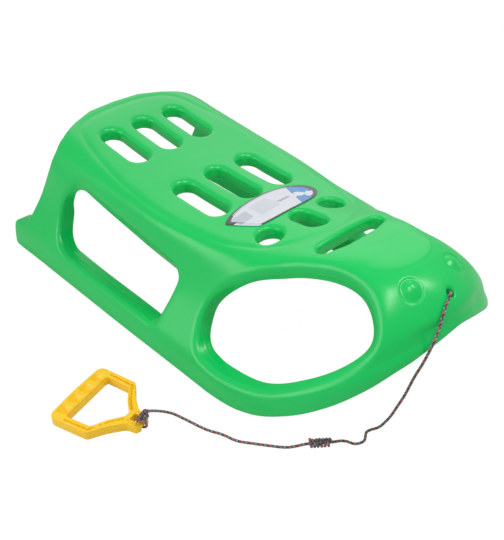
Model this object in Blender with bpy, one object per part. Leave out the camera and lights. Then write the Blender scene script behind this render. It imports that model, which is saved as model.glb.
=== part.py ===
"""Child's plastic sled: one blow-moulded twin-wall shell with a label, a pull cord and a grip handle.

Metres: X points forward (nose), Y to the rider's left, Z up, floor at z = 0.
The shell is one closed skin.  Its outer face is a smooth curve across the sled, swept from the
rear edge forward and then turned round the nose like a fan.  Every opening is an outline drawn
on that face laid out flat: a runs along the sled, b is measured over the surface from the
centre line down to the foot of the runner.
"""
import bpy
import numpy as np
from math import pi, sin, cos, radians, hypot
from mathutils import Vector
from mathutils.geometry import delaunay_2d_cdt

# Shell, overall
HALF_WIDTH = 0.206
FAN_CENTRE = 0.500
NOSE_REACH = 0.262
PLAN_POWER = 2.28
REAR_FLARE, FLARE_FROM, FLARE_FULL = 0.0015, 0.48, 0.30
WALL_SEAT = 0.022
WALL_RUNNER = 0.030
WALL_NOSE = 0.016
STATION_END = FAN_CENTRE + HALF_WIDTH * pi / 2
# The drawing's x starts at the runners' rear end; the world's origin is under the shell's middle
MIDDLE = (FAN_CENTRE + NOSE_REACH) / 2

# Sections across the shell, by place along it: seat half width, drop at its edge, knee beyond the
# edge, radius and drop of the flank's middle, inset of the runner's shoulder
SECTIONS = np.array((
    (0.00, 0.122, 0.04, 0.028, 0.170, 0.50, 0.010),
    (0.10, 0.1416, 0.030, 0.022, 0.1700, 0.50, 0.010),
    (0.30, 0.1452, 0.010, 0.006, 0.1640, 0.48, 0.010),
    (0.50, 0.1167, 0.020, 0.020, 0.158, 0.46, 0.010),
    (0.58, 0.1097, 0.042, 0.026, 0.1709, 0.4800, 0.0110),
    (0.66, 0.1326, 0.060, 0.030, 0.1958, 0.50, 0.012),
    (0.73, 0.1700, 0.048, 0.028, 0.2426, 0.4764, 0.0093),
    (STATION_END, 0.2143, 0.030, 0.025, 0.2554, 0.44, 0.005)))
# Height of the seat's centre line and how fast it falls to the sides, by place along the sled
SPINE = np.array(((0.0, 0.213), (0.06, 0.2095), (0.15, 0.1975), (0.25, 0.188), (0.333, 0.184),
                  (0.42, 0.187), (0.50, 0.196), (0.58, 0.2099), (0.645, 0.2174), (0.69, 0.2214),
                  (0.74, 0.2113), (0.80, 0.1858)))
# How far the sides lie below the centre line, by place, and from how far out they stay level
FALL = np.array(((0.0, 0.0005), (0.15, 0.0005), (0.333, 0.0036), (0.48, 0.0092), (0.58, 0.0087),
                 (0.66, 0.010), (0.71, 0.012)))
FALL_REACH = 0.100
# Up to the first place the fall is round, from the second on it starts flat
NOSE_FROM, NOSE_FULL = 0.50, 0.62
# Height of the lower edge round the nose
LIP = np.array(((0.0, 0.0), (0.50, 0.0), (0.55, 0.003), (0.59, 0.012), (0.64, 0.0375),
                (0.68, 0.0664), (0.72, 0.101), (0.75, 0.1273), (0.785, 0.1466), (STATION_END, 0.1588)))
# Rear edge of the shell: distance over the surface from the centre line, place along the sled
REAR_EDGE = np.array(((0.0, 0.029), (0.05, 0.032), (0.09, 0.048), (0.1265, 0.0670), (0.1516, 0.0730),
                      (0.1813, 0.0680), (0.2227, 0.0535), (0.2624, 0.042), (0.2917, 0.034), (0.30, 0.032)))
BLOCK_TALL = 0.048
BLOCK_ROUND = 0.008

# Openings
SLOT_WIDTH = 0.036
SLOT_GAP = 0.063
REAR_SLOT_AT, REAR_SLOT_LENGTH = 0.150, 0.102
MIDDLE_SLOT_AT, MIDDLE_SLOT_LENGTH = 0.337, 0.106
FRONT_HOLE_AT, FRONT_HOLE_OUT, FRONT_HOLE_RADIUS = 0.483, 0.062, 0.018
SHORT_SLOT_AT, SHORT_SLOT_LENGTH, SHORT_SLOT_WIDTH = 0.497, 0.058, 0.032
CROSS_SLOT_REAR, CROSS_SLOT_FRONT, CROSS_SLOT_HALF, CROSS_SLOT_BOW = 0.5655, 0.583, 0.0615, 0.0085
NOSE_HOLE_AT, NOSE_HOLE_RADIUS, NOSE_HOLE_CUT = 0.740, 0.005, 0.0015
# Corners of the rear window on the flank: along, down from the centre line, rounding
WINDOW = ((0.1428, 0.1611, 0.032), (0.3929, 0.1861, 0.022), (0.3833, 0.2874, 0.014),
          (0.1276, 0.2981, 0.040), (0.1047, 0.234, 0.080))
# Points on the front hand hole's smooth outline
HAND_HOLE = ((0.4604, 0.1989), (0.4946, 0.1456), (0.5484, 0.1008), (0.6137, 0.077), (0.6699, 0.0776),
             (0.7187, 0.1046), (0.7219, 0.1469), (0.6852, 0.2015), (0.6309, 0.2486), (0.5505, 0.2796),
             (0.4871, 0.2802), (0.4612, 0.2467))
RIM_CUT = 0.004
EDGE_CUT = 0.004
GRAIN = 0.024
STEP = 0.013

# Label: oval across the seat, its right end cut off straight
LABEL_AT, LABEL_OUT = 0.429, -0.005
LABEL_HALF_LENGTH, LABEL_HALF_WIDTH, LABEL_POWER = 0.085, 0.032, 2.3
LABEL_CUT, LABEL_CUT_TURN = 0.058, radians(-57)
LABEL_THICK = 0.0006
LABEL_PIECES = 44
LABEL_LIFT = 0.0007
GAP = 0.0003

# Handle, in its own frame: u from grip to eye, w across, origin on the eye's bar
PIVOT_HEIGHT = 0.0105
PIVOT = (0.5015, -0.3110, PIVOT_HEIGHT)
HANDLE_TURN = radians(17)
HANDLE_TALL = 0.015
HANDLE_REACH = 0.1125
GRIP_HALF, GRIP_WIDE, GRIP_ROUND, GRIP_BOW, BOW_ROUND = 0.056, 0.020, 0.010, 0.003, 0.4
SHOULDER_AT, SHOULDER_HALF, SHOULDER_ROUND = -0.050, 0.0545, 0.006
LEG_WIDE, THROAT_HALF, INNER_ROUND = 0.012, 0.004, 0.003
EYE_BAR, EYE_LENGTH, EYE_HALF, EYE_CHEEK = 0.007, 0.012, 0.006, 0.0085
EYE_TAPER, EYE_ROUND, EYE_HOLE_ROUND = 0.002, 0.004, 0.001
EYE_LIFT = 0.002
FINGERS, FINGER_PITCH = 4, 0.0235
POCKET_HALF, POCKET_DEEP, POCKET_ROUND = 0.0065, 0.005, 0.002
GROOVE_WIDE, GROOVE_DEEP, GROOVE_END = 0.005, 0.005, 0.008
HANDLE_GRAIN = 0.02
OVER = 0.005

# Cord: diameter, its knots and its way from the nose over the floor to the handle
CORD = 0.004
CORD_STEP, CORD_TURN = 0.014, radians(50)
WRAP_PITCH = 0.0045
WRAP_RADIUS = CORD + 0.0004
STOP_TURNS, STOP_SEAT = 3, 0.0058
BARREL_TURNS, BARREL_HEIGHT = 6, 0.0069
BARREL_AT, BARREL_AXIS = (0.6843, -0.1616), (-0.617, -0.787)
EYE_TURNS = 3
KNOT_REACH, KNOT_ANGLE = 0.0150, radians(75)
LOOP_RADIUS, LOOP_OPEN = 0.00745, 80
CORD_OVER_HOLE = ((0.0004, -0.0006, -0.0040), (0.0014, -0.0022, -0.0002), (0.0032, -0.0052, 0.0021))
NOSE_LIFT = 0.0006
CORD_ON_NOSE = ((0.7445, -0.0097), (0.7481, -0.0186), (0.7537, -0.0295), (0.7601, -0.0386))
CORD_HANGING = ((0.7617, -0.0555, 0.1655), (0.7594, -0.0586, 0.1509), (0.7537, -0.0601, 0.1277),
                (0.7456, -0.0620, 0.1000),
                (0.7380, -0.0667, 0.0655), (0.7321, -0.0703, 0.0448), (0.7260, -0.0741, 0.0245),
                (0.7202, -0.0776, 0.0110))
CORD_ON_FLOOR_FRONT = ((0.7151, -0.0820), (0.7103, -0.1001), (0.7180, -0.1139), (0.7175, -0.1190),
                       (0.7135, -0.1264), (0.7037, -0.1310))
CORD_ON_FLOOR_REAR = ((0.6583, -0.1947), (0.6468, -0.2052), (0.6303, -0.2178), (0.6176, -0.2273),
                      (0.6039, -0.2361), (0.5849, -0.2419), (0.5665, -0.2505), (0.5452, -0.2568),
                      (0.5224, -0.2624), (0.5060, -0.2680))
# From the floor up to the eye's knot and out of it, in the handle's own frame
CORD_TO_EYE = ((0.0080, 0.0300, -0.0010), (0.0065, 0.0190, 0.0085))
LOOSE_END = (-0.001, -0.007, 0.004)
TAIL = 0.006
HOLE_RUN = 0.008


def curve_through(table, x):
    """Monotone cubic curve through rows (place, values...), level at both ends."""
    places, values = table[:, 0], table[:, 1:]
    step = np.diff(places)[:, None]
    rise = np.diff(values, axis=0) / step
    before, after = rise[:-1], rise[1:]
    same = before * after > 0
    slope = np.zeros_like(values)
    slope[1:-1] = np.where(same, 2 * before * after / np.where(same, before + after, 1), 0)
    x = np.clip(x, places[0], places[-1])
    i = np.clip(np.searchsorted(places, x) - 1, 0, len(places) - 2)
    h = step[i]
    t = (x - places[i])[..., None] / h
    return ((1 + 2 * t) * (1 - t) ** 2 * values[i] + t * (1 - t) ** 2 * h * slope[i]
            + t * t * (3 - 2 * t) * values[i + 1] + t * t * (t - 1) * h * slope[i + 1])


def ease(start, end, x):
    """Smooth step from 0 at start to 1 at end."""
    t = np.clip((x - start) / (end - start), 0, 1)
    return t * t * (3 - 2 * t)


def plan_radius(station):
    """Outer half width along the sled, then the nose's radius from the fan's centre."""
    turn = np.clip(station - FAN_CENTRE, 0, None) / HALF_WIDTH
    share = (np.sin(turn) / NOSE_REACH) ** PLAN_POWER + (np.abs(np.cos(turn)) / HALF_WIDTH) ** PLAN_POWER
    return share ** (-1 / PLAN_POWER) + REAR_FLARE * ease(FLARE_FROM, FLARE_FULL, station)


def section(station):
    """Control radii and drops (0 at the seat, 1 at the foot) of the curve across the shell."""
    seat, crest, knee, flank, flank_drop, inset = np.moveaxis(curve_through(SECTIONS, station), -1, 0)
    edge = plan_radius(station)
    nil, one = np.zeros_like(seat), np.ones_like(seat)
    knee_drop = 0.22 - 0.06 * ease(0.66, STATION_END, station)
    radii = np.stack((nil, 0.42 * seat, 0.78 * seat, seat, seat + knee, flank, edge - inset, edge, edge), -1)
    drops = np.stack((nil, nil, nil, crest, knee_drop * one, flank_drop, 0.74 * one, 0.82 * one, one), -1)
    return radii, drops


def spline(control, t):
    """Clamped cubic B-spline of control[..., k] at t in 0..1."""
    spans = control.shape[-1] - 3
    knots = np.concatenate((np.zeros(3), np.arange(spans + 1), np.full(3, spans)))
    u = np.clip(t, 0, 1 - 1e-9) * spans
    j = np.floor(u).astype(int) + 3
    basis = [np.ones_like(u)]
    for degree in (1, 2, 3):
        higher = [np.zeros_like(u) for _ in range(degree + 1)]
        for r in range(degree):
            left, right = knots[j + 1 + r - degree], knots[j + 1 + r]
            w = (u - left) / (right - left)
            higher[r] += basis[r] * (1 - w)
            higher[r + 1] += basis[r] * w
        basis = higher
    return sum(basis[r] * np.take_along_axis(control, (j - 3 + r)[..., None], -1)[..., 0] for r in range(4))


def seat_height(x, y):
    """Height of the seat and nose surface, lower to the sides: round on the seat, flat first on the nose."""
    out = np.clip(np.abs(y) / FALL_REACH, 0, 1) ** 2
    nose = ease(NOSE_FROM, NOSE_FULL, x)
    share = (1 - nose) * out * (2 - out) + nose * out ** 2 * (3 - 2 * out)
    return curve_through(SPINE, x)[..., 0] - curve_through(FALL, x)[..., 0] * share


def lip_height(station):
    return curve_through(LIP, station)[..., 0]


def unroll(rows=120, columns=160):
    """Distance from centre line to foot at each station, and the curve's parameter at shares of it."""
    station = np.linspace(0, STATION_END, rows)
    t = np.linspace(0, 1, 400)
    radii, drops = section(station[:, None] * np.ones(400))
    every = t[None, :] * np.ones((rows, 1))
    r, drop = spline(radii, every), spline(drops, every)
    tall = (curve_through(SPINE, np.minimum(station, FAN_CENTRE))[..., 0] - lip_height(station))[:, None]
    run = np.hypot(np.diff(r), np.diff(drop) * tall).cumsum(1)
    run = np.concatenate((np.zeros((rows, 1)), run), 1)
    share = np.linspace(0, 1, columns)
    return station, run[:, -1], np.array([np.interp(share, line / line[-1], t) for line in run])


STATIONS, GIRTHS, PARAMETERS = unroll()


def girth(station):
    """Distance over the surface from the centre line to the foot."""
    return np.interp(station, STATIONS, GIRTHS)


def parameter(station, share):
    """Curve parameter at a share of the way from the centre line to the foot."""
    i = np.clip(station / STATION_END * (len(STATIONS) - 1), 0, len(STATIONS) - 1.001)
    j = np.clip(share * (PARAMETERS.shape[1] - 1), 0, PARAMETERS.shape[1] - 1.001)
    row, column = i.astype(int), j.astype(int)
    down, over = i - row, j - column
    near = PARAMETERS[row, column] * (1 - over) + PARAMETERS[row, column + 1] * over
    far = PARAMETERS[row + 1, column] * (1 - over) + PARAMETERS[row + 1, column + 1] * over
    return near * (1 - down) + far * down


def skin(flat, depth=0.0):
    """Flat point (a, b) -> point of the shell, depth metres under its outer face.

    depth may be an array; it is measured along the wall, which leans from upright at the seat
    to level at the runner.
    """
    a, b = flat[..., 0], flat[..., 1]
    ahead = a > FAN_CENTRE
    turn = np.where(ahead, np.arctan2(np.maximum(a - FAN_CENTRE, 0), np.abs(b)), 0)
    station = np.where(ahead, FAN_CENTRE + HALF_WIDTH * turn, a)
    reach = np.where(ahead, np.hypot(a - FAN_CENTRE, b), np.abs(b))
    t = parameter(station, reach / girth(station))
    radii, drops = section(station)
    r, drop = spline(radii, t), spline(drops, t)
    out_x, out_y = np.sin(turn), np.where(b < 0, -1.0, 1.0) * np.cos(turn)
    x, y = np.minimum(a, FAN_CENTRE) + out_x * r, out_y * r
    z = seat_height(x, y) * (1 - drop) + lip_height(station) * drop
    lean = radians(90) * ease(0.0, 0.8, drop)
    level, upright = np.sin(lean) * depth, np.cos(lean) * depth
    return np.stack((x - out_x * level, y - out_y * level, z - upright), -1)


def wall(flat):
    """Thickness of the twin wall at flat points: seat, runners, thinner round the nose."""
    a, b = flat[..., 0], flat[..., 1]
    ahead = np.maximum(a - FAN_CENTRE, 0)
    reach = np.hypot(ahead, b)
    round_nose = ease(0.1, 0.9, ahead / np.maximum(reach, 0.001))
    edge = WALL_RUNNER + (WALL_NOSE - WALL_RUNNER) * round_nose
    return WALL_SEAT + (edge - WALL_SEAT) * ease(0.14, 0.25, reach)


def rounded(corners, step):
    """Closed polygon with its corners (a, b, radius) turned into arcs, points about step apart."""
    points = []
    count = len(corners)
    for i, (a, b, radius) in enumerate(corners):
        here = np.array((a, b))
        back = np.array(corners[i - 1][:2]) - here
        on = np.array(corners[(i + 1) % count][:2]) - here
        back, on = back / hypot(*back), on / hypot(*on)
        half = 0.5 * np.arccos(np.clip(back @ on, -1, 1))
        if radius == 0 or half > radians(89.5):
            points.append(here)
            continue
        middle = here + (back + on) / hypot(*(back + on)) * radius / sin(half)
        enter = here + back * radius / np.tan(half) - middle
        leave = here + on * radius / np.tan(half) - middle
        sweep = pi - 2 * half
        pieces = max(2, int(np.ceil(radius * sweep / step)))
        for k in range(pieces + 1):
            share = k / pieces
            points.append(middle + (enter * sin((1 - share) * sweep) + leave * sin(share * sweep)) / sin(sweep))
    return spaced(np.array(points), step)


def spaced(points, step):
    """Splits each side of a closed polygon that is longer than 1.5 steps."""
    full = []
    for start, end in zip(points, np.roll(points, -1, 0)):
        pieces = max(1, int(round(hypot(*(end - start)) / step)))
        full += [start + (end - start) * k / pieces for k in range(pieces)]
    return np.array(full)


def smooth_loop(points, step):
    """Closed curve with even curvature through a few points."""
    points = np.array(points)
    count = len(points)
    pull = 4 * np.eye(count) + np.roll(np.eye(count), 1, 0) + np.roll(np.eye(count), -1, 0)
    slope = np.linalg.solve(pull, 3 * (np.roll(points, -1, 0) - np.roll(points, 1, 0)))
    full = []
    for i in range(count):
        j = (i + 1) % count
        pieces = max(2, int(round(hypot(*(points[j] - points[i])) / step)))
        for k in range(pieces):
            t = k / pieces
            full.append((1 + 2 * t) * (1 - t) ** 2 * points[i] + t * (1 - t) ** 2 * slope[i]
                        + t * t * (3 - 2 * t) * points[j] + t * t * (t - 1) * slope[j])
    return np.array(full)


def straight_slot(at, out, length, width):
    """Corners of a round-ended opening along the sled."""
    a, b, r = length / 2, width / 2, width / 2 * 0.999
    return tuple((at + i * a, out + j * b, r) for i, j in ((-1, -1), (1, -1), (1, 1), (-1, 1)))


def mirrored(points):
    return tuple((p[0], -p[1]) + tuple(p[2:]) for p in reversed(points))


def shell_outline(step):
    """The shell's outer edge laid flat: runners' feet, fan round the nose, blocks and rear edge."""
    foot_rear = float(girth(0.0))
    side = [(0.0, foot_rear - BLOCK_TALL, BLOCK_ROUND)]
    side += [(REAR_EDGE[-1, 1], foot_rear - BLOCK_TALL, BLOCK_ROUND)]
    rear = [(a, b, 0) for b, a in REAR_EDGE[::-1][1:]]
    left = [(0.0, foot_rear, BLOCK_ROUND)] + side + rear
    right = [(a, -b, r) for a, b, r in reversed(left[:-1])]
    angles = np.linspace(-pi / 2, pi / 2, 61)
    fan = []
    for angle in angles:
        reach = float(girth(FAN_CENTRE + HALF_WIDTH * (pi / 2 - abs(angle))))
        fan.append((FAN_CENTRE + reach * cos(angle), reach * sin(angle), 0))
    foot = [(a, -float(girth(a)), 0) for a in np.arange(0.05, FAN_CENTRE - 0.01, 0.05)]
    foot_left = [(a, -b, r) for a, b, r in reversed(foot)]
    return rounded(left + right + foot + fan + foot_left, step)


def clockwise(loop):
    a, b = loop[:, 0], loop[:, 1]
    return (a * np.roll(b, -1) - b * np.roll(a, -1)).sum() < 0


def inside(points, loops):
    """True for points within the first loop and outside the others (even number of crossings)."""
    odd = np.zeros(len(points), bool)
    for loop in loops:
        start, end = loop, np.roll(loop, -1, 0)
        for (a0, b0), (a1, b1) in zip(start, end):
            if b0 == b1:
                continue
            spans = (points[:, 1] >= min(b0, b1)) & (points[:, 1] < max(b0, b1))
            left = a0 + (points[:, 1] - b0) * (a1 - a0) / (b1 - b0) > points[:, 0]
            odd ^= spans & left
    return odd


def fill(loops, grain):
    """Triangles over the material between loops: flat points and faces, loop points first."""
    edge = np.concatenate(loops)
    rows = np.arange(edge[:, 1].min(), edge[:, 1].max(), grain * sin(pi / 3))
    grid = [(a + (k % 2) * grain / 2, b) for k, b in enumerate(rows)
            for a in np.arange(edge[:, 0].min(), edge[:, 0].max(), grain)]
    grid = np.array(grid)
    grid = grid[inside(grid, loops)]
    far = np.array([np.hypot(*(edge - point).T).min() > 0.62 * grain for point in grid], bool)
    points = np.concatenate((edge, grid[far]))
    sides, start = [], 0
    for loop in loops:
        sides += [(start + i, start + (i + 1) % len(loop)) for i in range(len(loop))]
        start += len(loop)
    done = delaunay_2d_cdt([Vector(p) for p in points], sides, [], 0, 1e-7)
    place = {new: old[0] for new, old in enumerate(done[3])}
    faces = np.array([[place[i] for i in face] for face in done[2]])
    corner = points[faces]
    ahead, across = corner[:, 1] - corner[:, 0], corner[:, 2] - corner[:, 0]
    turned = ahead[:, 0] * across[:, 1] - ahead[:, 1] * across[:, 0] < 0
    faces[turned] = faces[turned][:, ::-1]
    return points, faces[inside(corner.mean(1), loops)]


def plate(loops, cuts, grain, low, high):
    """Closed body between two offsets under the skin, its edges cut back by a slant.

    loops: the outline and its openings; cuts: width of the slant at each; low and high: depth
    of the two faces at flat points.
    """
    loops = [loop[::-1] if clockwise(loop) == (k == 0) else loop for k, loop in enumerate(loops)]
    inward = []
    for loop in loops:
        along = np.roll(loop, -1, 0) - np.roll(loop, 1, 0)
        along /= np.hypot(*along.T)[:, None]
        inward.append(np.stack((-along[:, 1], along[:, 0]), 1))
    faces_at = [loop + n * cut for loop, n, cut in zip(loops, inward, cuts)]
    points, triangles = fill(faces_at, grain)
    count = len(points)
    verts = [skin(points, high(points)), skin(points, low(points))]
    faces = triangles.tolist() + (triangles[:, ::-1] + count).tolist()
    start, total = 0, 2 * count
    for loop, cut in zip(loops, cuts):
        size = len(loop)
        upper, lower = total + np.arange(size), total + size + np.arange(size)
        verts += [skin(loop, high(loop) + cut), skin(loop, low(loop) - cut)]
        total += 2 * size
        rows = [start + np.arange(size), upper, lower, count + start + np.arange(size)]
        for over, under in zip(rows, rows[1:]):
            after_over, after_under = np.roll(over, -1), np.roll(under, -1)
            faces += np.stack((after_over, over, under), 1).tolist()
            faces += np.stack((after_over, under, after_under), 1).tolist()
        start += size
    return np.concatenate(verts), faces


def material(name, colour, roughness, metallic=0.0):
    made = bpy.data.materials.new(name)
    made.use_nodes = True
    shader = made.node_tree.nodes["Principled BSDF"]
    shader.inputs["Base Color"].default_value = (*colour, 1.0)
    shader.inputs["Roughness"].default_value = roughness
    shader.inputs["Metallic"].default_value = metallic
    return made


def add(name, data, look, origin=(0.0, 0.0, 0.0)):
    """Puts a mesh or curve in the scene as a named part, its origin given from the rear end."""
    part = bpy.data.objects.new(name, data)
    part.location = (origin[0] - MIDDLE, *origin[1:])
    data.materials.append(look)
    bpy.context.scene.collection.objects.link(part)
    return part


def mesh(name, verts, faces, smooth_under=35):
    data = bpy.data.meshes.new(name)
    data.from_pydata([tuple(v) for v in verts], [], faces)
    data.shade_smooth()
    data.set_sharp_from_angle(angle=radians(smooth_under))
    return data


def make_shell(look):
    """The twin-wall shell with all its openings."""
    slots = [straight_slot(at, out, length, SLOT_WIDTH)
             for at, length in ((REAR_SLOT_AT, REAR_SLOT_LENGTH), (MIDDLE_SLOT_AT, MIDDLE_SLOT_LENGTH))
             for out in (-SLOT_GAP, 0, SLOT_GAP)]
    round_hole = 2 * FRONT_HOLE_RADIUS
    slots += [straight_slot(FRONT_HOLE_AT, out, round_hole, round_hole)
              for out in (-FRONT_HOLE_OUT, FRONT_HOLE_OUT)]
    slots.append(straight_slot(SHORT_SLOT_AT, 0, SHORT_SLOT_LENGTH, SHORT_SLOT_WIDTH))
    bow = CROSS_SLOT_FRONT + CROSS_SLOT_BOW
    half = CROSS_SLOT_HALF
    slots.append(((CROSS_SLOT_REAR, -half, 0.010), (CROSS_SLOT_FRONT, -half, 0.010), (bow, -half / 2, 0.05),
                  (bow, half / 2, 0.05), (CROSS_SLOT_FRONT, half, 0.010), (CROSS_SLOT_REAR, half, 0.010)))
    nose = 2 * NOSE_HOLE_RADIUS
    slots.append(straight_slot(NOSE_HOLE_AT, 0, nose, nose))
    loops = [shell_outline(STEP)]
    loops += [rounded(corners, min(STEP, 0.6 * corners[0][2])) for corners in slots]
    loops += [rounded(corners, STEP) for corners in (WINDOW, mirrored(WINDOW))]
    loops += [smooth_loop(points, STEP) for points in (HAND_HOLE, mirrored(HAND_HOLE))]
    cuts = [EDGE_CUT] + [RIM_CUT] * (len(slots) - 1) + [NOSE_HOLE_CUT] + [RIM_CUT] * 4
    verts, faces = plate(loops, cuts, GRAIN, wall, lambda flat: np.zeros(len(flat)))
    add("sled_body", mesh("sled_body", verts, faces), look)


def label_outline(pieces):
    """Oval of the label with one corner cut off, as flat points."""
    angles = np.linspace(0, 2 * pi, pieces, endpoint=False)
    ahead, out = np.cos(angles), np.sin(angles)
    share = (np.abs(ahead) / LABEL_HALF_WIDTH) ** LABEL_POWER + (np.abs(out) / LABEL_HALF_LENGTH) ** LABEL_POWER
    reach = share ** (-1 / LABEL_POWER)
    facing = np.cos(angles - LABEL_CUT_TURN)
    reach = np.where(facing > 0.01, np.minimum(reach, LABEL_CUT / np.maximum(facing, 0.01)), reach)
    return np.stack((LABEL_AT + ahead * reach, LABEL_OUT + out * reach), 1)


def make_label(look):
    """Thin label on the seat, just clear of it."""
    verts, faces = plate([label_outline(LABEL_PIECES)], [LABEL_THICK / 6], GRAIN / 2,
                         lambda flat: np.full(len(flat), -LABEL_LIFT),
                         lambda flat: np.full(len(flat), -LABEL_LIFT - LABEL_THICK))
    add("label", mesh("label", verts, faces), look)


def through(points, step, turn):
    """Points on a smooth curve through a cord's own points, and its length.

    They lie step apart where it runs straight, and closer where it bends: turn radians at most.
    """
    points = np.array(points, float)
    gap = np.linalg.norm(np.diff(points, axis=0), axis=1)
    count = len(points)
    rows, sums = np.zeros((count, count)), np.zeros((count, 3))
    rows[0, :2], rows[-1, -2:] = (2, 1), (1, 2)
    sums[0] = 3 * (points[1] - points[0]) / gap[0]
    sums[-1] = 3 * (points[-1] - points[-2]) / gap[-1]
    for i in range(1, count - 1):
        rows[i, i - 1:i + 2] = gap[i], 2 * (gap[i - 1] + gap[i]), gap[i - 1]
        sums[i] = 3 * (gap[i] * (points[i] - points[i - 1]) / gap[i - 1]
                       + gap[i - 1] * (points[i + 1] - points[i]) / gap[i])
    slope = np.linalg.solve(rows, sums)
    fine = []
    for i, h in enumerate(gap):
        for t in np.arange(0, 1, 1 / 40):
            fine.append((1 + 2 * t) * (1 - t) ** 2 * points[i] + t * (1 - t) ** 2 * h * slope[i]
                        + t * t * (3 - 2 * t) * points[i + 1] + t * t * (t - 1) * h * slope[i + 1])
    fine = np.array(fine + [points[-1]])
    side = np.diff(fine, axis=0)
    long = np.linalg.norm(side, axis=1)
    along = side / long[:, None]
    bend = np.arccos(np.clip((along[1:] * along[:-1]).sum(1), -1, 1))
    share = long / step + np.convolve(np.concatenate(([0], bend)), np.ones(9) / 9, "same") / turn
    run = np.concatenate(([0], share.cumsum()))
    even = np.linspace(0, run[-1], int(np.ceil(run[-1])) + 1)
    return np.stack([np.interp(even, run, fine[:, k]) for k in range(3)], 1), long.sum()


def tube(name, points, look, resolution):
    """Round cord along points, ends closed."""
    curve = bpy.data.curves.new(name, "CURVE")
    curve.dimensions = "3D"
    curve.bevel_depth = CORD / 2
    curve.bevel_resolution = resolution
    curve.use_fill_caps = True
    line = curve.splines.new("POLY")
    line.points.add(len(points) - 1)
    for spot, point in zip(line.points, points):
        spot.co = (*point, 1.0)
    add(name, curve, look)


def winding(name, centre, axis, side, turns, radius, look):
    """Wraps of cord round an axis, as one helix whose ends run straight for one diameter."""
    centre, axis, side = Vector(centre), Vector(axis).normalized(), Vector(side)
    side = (side - axis * side.dot(axis)).normalized()
    across = axis.cross(side)
    angles = np.linspace(0, 2 * pi * turns, int(24 * turns) + 1)
    points = [centre + axis * (WRAP_PITCH * (angle / (2 * pi) - turns / 2))
              + (side * cos(angle) + across * sin(angle)) * radius for angle in angles]
    lead = [points[0] + (points[0] - points[1]).normalized() * CORD]
    trail = [points[-1] + (points[-1] - points[-2]).normalized() * CORD]
    points = lead + points + trail
    place = np.array([tuple(p) for p in points])
    gap = min(np.linalg.norm(place[12:] - place[i], axis=1)[max(0, i):].min()
              for i in range(len(place) - 13))
    print(name, "least gap of the winding to itself, mm:", round((gap - CORD) * 1000, 2))
    tube(name, points, look, 1)


def prism(outline, low, high):
    """Upright solid on a closed outline of (u, w) points."""
    count = len(outline)
    verts = [(u, w, z) for z in (low, high) for u, w in outline]
    sides = [(i, (i + 1) % count, count + (i + 1) % count, count + i) for i in range(count)]
    return verts, sides + [tuple(range(count))[::-1], tuple(range(count, 2 * count))]


def joined(solids):
    """Several separate solids as one mesh."""
    verts, faces = [], []
    for more_verts, more_faces in solids:
        faces += [tuple(i + len(verts) for i in face) for face in more_faces]
        verts += more_verts
    return verts, faces


def cut(part, name, solids):
    """Takes the solids out of a part."""
    tool = bpy.data.objects.new(name, mesh(name, *joined(solids)))
    tool.hide_render = True
    tool.display_type = "WIRE"
    tool.parent = part
    bpy.context.scene.collection.objects.link(tool)
    step = part.modifiers.new(name, "BOOLEAN")
    step.operation = "DIFFERENCE"
    step.object = tool


def strip(start, end, width):
    """Outline of a straight strip between two (u, w) points."""
    start, end = np.array(start), np.array(end)
    along = (end - start) / hypot(*(end - start))
    off = np.array((-along[1], along[0])) * width / 2
    return [tuple(p) for p in (start - off, end - off, end + off, start + off)]


def rectangle(u_low, u_high, w_low, w_high, radius):
    """Rounded outline of a rectangle in the handle's frame."""
    corners = ((u_low, w_low), (u_high, w_low), (u_high, w_high), (u_low, w_high))
    return rounded([(*corner, radius) for corner in corners], HANDLE_GRAIN)


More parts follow.
